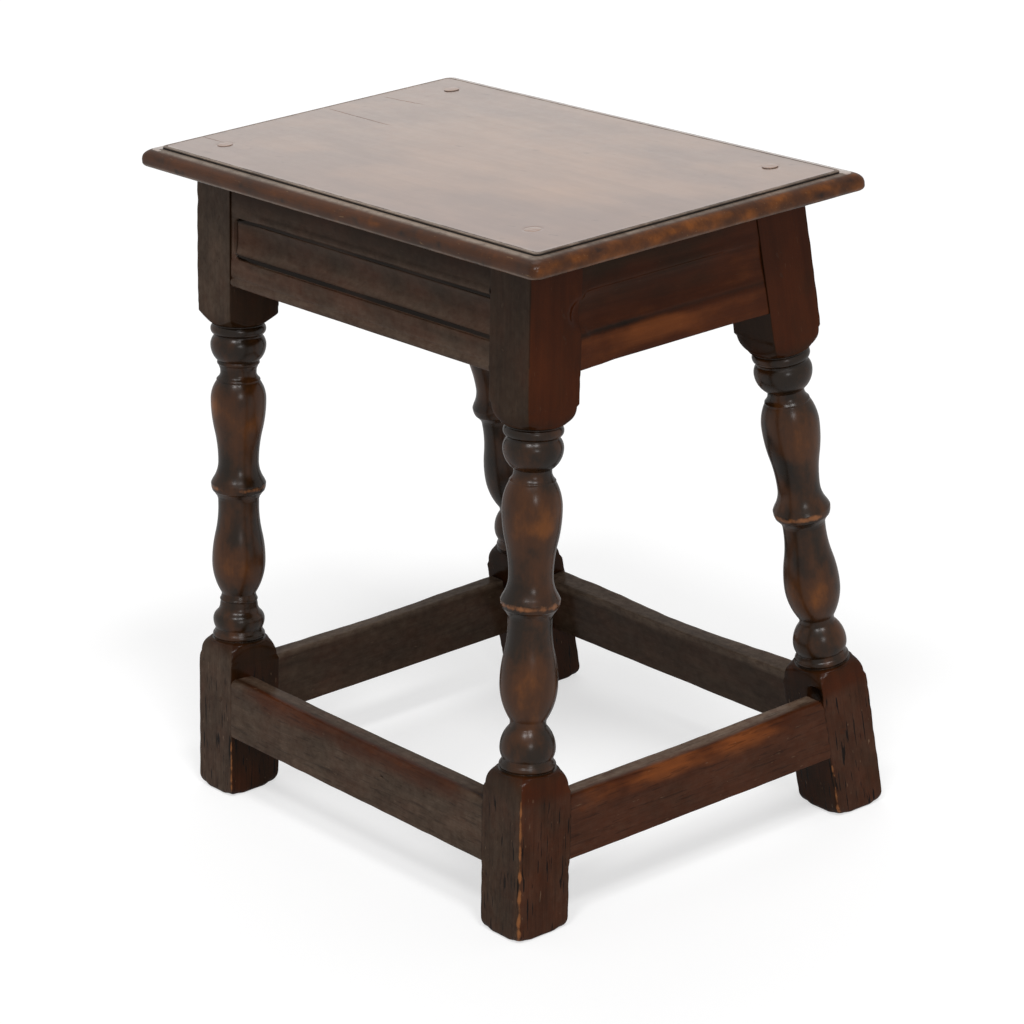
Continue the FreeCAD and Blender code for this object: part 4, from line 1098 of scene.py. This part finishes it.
def makeMoulding(edge, xLines, yLines, fieldX, fieldY):
    # the edge's section carried round the four mitred sides: one ring for each of its points, from the
    # field out and round to the underside
    ringX, ringY = [], []
    for depth in edge[:, 0]:
        reachX, reachY, bend = ringAt(depth, edge[0, 0])
        sideX, sideY = ringLines(xLines, fieldX, reachX, bend), ringLines(yLines, fieldY, reachY, bend)
        atX, atY = np.full(len(sideY) - 1, reachX), np.full(len(sideX) - 1, reachY)
        across = np.concatenate([sideX[:-1], atX, sideX[:0:-1], -atX])
        along = np.concatenate([-atY, sideY[:-1], atY, sideY[:0:-1]])
        across, along = roundCorners(across, along, reachX, reachY, bend)
        ringX.append(np.append(across, across[0]))
        ringY.append(np.append(along, along[0]))
    ringX, ringY = np.array(ringX), np.array(ringY)
    depth = edge[:, 0][:, None] * np.ones_like(ringX)
    height = edge[:, 1][:, None] * np.ones_like(ringX)
    way = places(ringX, ringY, height)
    outerShare = 1 - smoothStep(depth, 1 * mm, 12 * mm)
    pull = outerShare * np.clip(0.35 * mm * (ripple(way, 50 * mm, 9) + 0.4), 0, None)
    lifted = smoothStep(height, 2 * mm, 5 * mm) * 0.15 * mm * ripple(way, 35 * mm, 12) * outerShare
    x, y = ringX * (1 - pull / boardHigh.x), ringY * (1 - pull / boardHigh.y)
    points = places(x, y, boardLow.z + height - np.clip(lifted, 0, None))

    # painted shade in the step beside the field
    quirk = hump(depth, boardShape["mouldWidth"] - 0.5 * mm, 1.15 * mm)
    quirk = quirk * (height < boardThick - 0.6 * mm) * (height > boardThick / 2)
    under = smoothStep(-height, -1.2 * mm, -0.2 * mm)
    isEnd = smoothStep(np.abs(x) - boardHigh.x - np.abs(y) + boardHigh.y, -7 * mm, 5 * mm)
    face = smoothStep(-depth, -9.5 * mm, -5.5 * mm) * (1 - under)
    # the strip is the moulding's up-facing top, painted pale as sheen
    strip = smoothStep(depth, 5.5 * mm, 9.5 * mm)
    # the rounded lower arris is painted pale as a reflection of the floor
    lowArris = hump(height, 2 * mm, 1.1 * mm)
    smear = 0.75 * ripple(way * (0.45, 0.45, 1.2), 16 * mm, 14) + 0.45 * ripple(way, 7 * mm, 15)
    wear = face * (0.04 + 0.10 * smear) * isEnd
    # the end edges are warmer and less pale than the long ones: partly their colour, partly painted light
    rub = face * (0.42 + 0.26 * isEnd + 0.26 * smear) + 0.2 * strip
    dirt = np.maximum(np.maximum(quirk, under * 0.5), smoothStep(-smear, 0.45, 1.1) * face * 0.6)
    dusted = np.maximum(strip * (0.95 - 0.35 * isEnd + 0.2 * smear), lowArris * (0.5 - 0.3 * isEnd))
    beyond = (ringY > fieldY) | (ringX < -fieldX)
    dirt = np.where(beyond, dirt * (1 - 0.85 * strip), dirt)
    polished = (beyond & (depth > 8.5 * mm))[:-1, :-1]
    grain = places(points[..., 1] + 0.3, points[..., 2], points[..., 0] + 0.2)
    marks = {"dirt": dirt, "wear": wear, "rub": rub, "dust": dusted, "open": 0.35}
    return sheet(points, grain, finish=1 - polished.astype(int), **marks)


def makeUnderside(edge, xLines, yLines, fieldX, fieldY):
    # the field's grid once more, drawn out to the last ring and laid level
    reachX, reachY, bend = ringAt(edge[-1, 0], edge[0, 0])
    xLines, yLines = ringLines(xLines, fieldX, reachX, bend), ringLines(yLines, fieldY, reachY, bend)
    x, y = np.meshgrid(xLines, yLines, indexing="ij")
    x, y = roundCorners(x, y, reachX, reachY, bend)
    grain = places(y + 0.3, boardLow.z, x + 0.2)
    return sheet(places(x, y, boardLow.z), grain, finish=2, dirt=0.35, open=0.8)


def makeBoard():
    # the field, the moulding and the underside share the lines of one grid, so that they join
    edge = boardEdge()
    fieldX, fieldY = boardHigh.x - edge[0, 0], boardHigh.y - edge[0, 0]
    xLines, yLines = boardLines(fieldX, fieldY)
    grid = xLines, yLines, fieldX, fieldY
    return [makeField(*grid), makeMoulding(edge, *grid), makeUnderside(edge, *grid)]


makePiece("moulded_seat_board", makeBoard(), [boardWood, edgeWood, frameWood], ["seat_board"])
print("board ready")

# Pegs

pegShape = {
    "seatRadius": 6.9 * mm, "seatCrown": 0.3 * mm,
    "seatProud": {("front", "left"): 0.6 * mm, ("front", "right"): 0.35 * mm,
                  ("back", "left"): 1 * mm, ("back", "right"): 1 * mm},
    "jointRadius": 4 * mm, "jointCrown": 0.1 * mm, "jointProud": 0.12 * mm,
    "deep": 6 * mm, "unevenness": 0.12 * mm, "columns": 49,
    # the joint pegs' heights, given down the lean for the long rails and above the floor for the end ones,
    # how far they stand off the stretchers' middles, and how far in from the legs' inner faces
    "railAlong": (36.95 * mm, 72.95 * mm), "railHeights": (488 * mm, 470 * mm),
    "offMiddle": 4.5 * mm, "setin": 16 * mm,
}


def pegSheet(centre, outward, radius, proud, seed, crown, rub=0.4, dust=0.1):
    # a worn peg head: rings from the crown's middle out to an uneven rim, then down into the wood
    outward = np.array(outward, float)
    outward /= np.linalg.norm(outward)
    across = np.cross(outward, (1, 0, 0) if abs(outward[0]) < 0.9 else (0, 1, 0))
    across /= np.linalg.norm(across)
    beside = np.cross(outward, across)
    domeShares = np.linspace(0, 0.86, 9)
    shares = np.r_[domeShares, 0.93, 0.97, 1, 1, 1, 0.9, 0]
    rimDrops = crown + np.array([0.12, 0.35, 0.9]) * mm
    drops = np.r_[crown * domeShares ** 2, crown * 0.93, rimDrops, [pegShape["deep"]] * 3]
    angle, share = np.meshgrid(np.linspace(0, 2 * math.pi, pegShape["columns"]), shares)
    drop = np.broadcast_to(drops[:, None], angle.shape)
    rim = places(np.cos(angle), np.sin(angle), 0)
    out = radius * share * (1 - 0.05 * (1 + ripple(rim, 2.6, seed)))
    flat = rim * out[..., None]
    lift = proud - drop - pegShape["unevenness"] * (1 + ripple(flat, 6 * mm, seed + 1)) * (share < 0.99)
    points = np.array(centre) + flat[..., :1] * across + flat[..., 1:2] * beside + lift[..., None] * outward
    grain = places(flat[..., 0], flat[..., 1], lift * 4) + seed * 0.19
    edge = smoothStep(share, 0.84, 0.98)
    side = smoothStep(drop, crown + 0.2 * mm, crown + 0.5 * mm)
    # the peg's side below the rim is painted dark as shade, and its rim a little
    return sheet(points, grain, dirt=0.75 * side + 0.15 * edge, rub=rub, dust=dust, open=0.25)


def jointHeads(side, end, alongLean, heights):
    # the heads on a leg's long face, at places along its lean, and on its end face, at heights
    radius, proud, crown = (pegShape["joint" + part] for part in ("Radius", "Proud", "Crown"))
    heads = []
    for index, up in enumerate(alongLean):
        place = np.array([end * (shoulderX + pegShape["setin"]), side * half, up])
        outward = leanPlace(np.array([0, side * 1.0, 0]), side) - leanPlace(np.zeros(3), side)
        heads.append(pegSheet(leanPlace(place, side), outward, radius, proud, 120 + index, crown, 0.1, 0.15))
    for index, up in enumerate(heights):
        place = (end * outerX, side * (innerY(up) + pegShape["setin"] / math.cos(splay)), up)
        heads.append(pegSheet(place, (end, 0, 0), radius, proud, 130 + index, crown, 0.3, 0.05))
    return heads


for index, ((sideName, endName), (x, y)) in enumerate(seatPegPlaces.items()):
    label = f"seat_peg_{sideName}_{endName}"
    proud = pegShape["seatProud"][sideName, endName]
    top = (x, y, boardHigh.z)
    head = pegSheet(top, (0, 0, 1), pegShape["seatRadius"], proud, 90 + index, pegShape["seatCrown"])
    makePiece("proud_" + label, [head], [boardWood], [label])

for sideName, side in sides.items():
    for endName, end in ends.items():
        longMiddle = stretcherFootAlong + stretcherHeight / 2
        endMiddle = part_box("stretcher_" + endName)[0].z + stretcherHeight / 2
        groups = {
            "rail_pegs": ([railTopAlong - down for down in pegShape["railAlong"]], pegShape["railHeights"]),
            "stretcher_pegs": ([longMiddle + pegShape["offMiddle"]], [endMiddle - pegShape["offMiddle"]]),
        }
        for group, (alongLean, heights) in groups.items():
            label = f"{group}_{sideName}_{endName}"
            heads = jointHeads(side, end, alongLean, heights)
            makePiece("flush_" + label, heads, [frameWood], [label])
print("pegs ready")

# Floor, light and camera

studio = {
    "floorColour": 0.84, "floorSeen": 0.48, "floorLift": 0.59, "floorSize": 40.0, "worldLight": 0.35,
    # each lamp by the way it stands round, its rise and width in degrees, and its strength
    "lamps": [(37, 57, 11, 0.80), (77, 57, 11, 0.80), (58, 57, 44, 0.22), (68, 18, 12, 0.42),
              (234, 60, 30, 0.30)],
}


def seenDirectly(tree):
    # 1 for rays from the camera and for mirrored or bent ones, 0 for the rays that light things
    path = addNode(tree, "LightPath", {})
    either = calc(tree, "MAXIMUM", path.outputs["Is Camera Ray"], path.outputs["Is Glossy Ray"])
    return calc(tree, "MAXIMUM", either, path.outputs["Is Transmission Ray"])


def makeFloor():
    # one large square, lit as a grey and seen a little brighter, so that it is white outside the shadow
    size = studio["floorSize"] / 2
    mesh = bpy.data.meshes.new("floor")
    square = [(-size, -size, 0), (size, -size, 0), (size, size, 0), (-size, size, 0)]
    mesh.from_pydata(square, [], [(0, 1, 2, 3)])
    floor = addObject("floor", mesh)
    material = bpy.data.materials.new("pale_floor")
    tree = emptyTree(material)
    seen = seenDirectly(tree)
    lit, shown = ((studio[name],) * 3 for name in ("floorColour", "floorSeen"))
    matt = addNode(tree, "BsdfDiffuse", {"Color": mixColour(tree, seen, lit, shown)})
    strength = calc(tree, "MULTIPLY", seen, studio["floorLift"])
    glow = addNode(tree, "Emission", {"Color": (1, 1, 1, 1), "Strength": strength})
    both = addNode(tree, "AddShader", {0: matt.outputs[0], 1: glow.outputs[0]})
    addNode(tree, "OutputMaterial", {"Surface": both.outputs[0]})
    mesh.materials.append(material)


def towards(azimuth, elevation):
    # the way from the middle out, so far round from the front and so far up, in degrees
    around, rise = math.radians(azimuth), math.radians(elevation)
    return Vector((math.sin(around) * math.cos(rise), -math.cos(around) * math.cos(rise), math.sin(rise)))


def makeLight():
    # a room that is seen white and lights less than that, and a few wide suns
    world = bpy.data.worlds.new("pale_room")
    bpy.context.scene.world = world
    tree = emptyTree(world)
    strength = between(tree, seenDirectly(tree), 0, 1, studio["worldLight"], 1)
    sky = addNode(tree, "Background", {"Color": (1, 1, 1, 1), "Strength": strength})
    addNode(tree, "OutputWorld", {"Surface": sky.outputs[0]})
    for index, (turn, rise, width, strength) in enumerate(studio["lamps"]):
        lamp = bpy.data.lights.new(f"soft_lamp_{index}", "SUN")
        lamp.energy = strength
        lamp.angle = math.radians(width)
        holder = addObject(f"soft_lamp_{index}", lamp)
        holder.rotation_euler = towards(turn, rise).to_track_quat("Z", "Y").to_euler()


sight = {
    "azimuth": 53.99, "elevation": 19.5, "roll": -4.15, "distance": 3.1591, "lens": 135.24, "sensor": 36,
    "target": (-1.45 * mm, -1.49 * mm, 250.28 * mm), "farthest": 100,
}


def makeCamera():
    # stands out from the target and looks back at it, level but for its roll
    around, roll = math.radians(sight["azimuth"]), math.radians(sight["roll"])
    back = towards(sight["azimuth"], sight["elevation"])
    right = Vector((math.cos(around), math.sin(around), 0))
    up = back.cross(right)
    tiltedRight = right * math.cos(roll) + up * math.sin(roll)
    tiltedUp = up * math.cos(roll) - right * math.sin(roll)
    camera = bpy.data.cameras.new("camera")
    camera.lens = sight["lens"]
    camera.sensor_width = sight["sensor"]
    camera.clip_end = sight["farthest"]
    holder = addObject("camera", camera)
    turn = Matrix((tiltedRight, tiltedUp, back)).transposed().to_4x4()
    holder.matrix_world = Matrix.Translation(Vector(sight["target"]) + back * sight["distance"]) @ turn
    bpy.context.scene.camera = holder


makeFloor()
makeLight()
makeCamera()
bpy.context.scene.view_settings.view_transform = "Standard"
print("floor, light and camera ready")
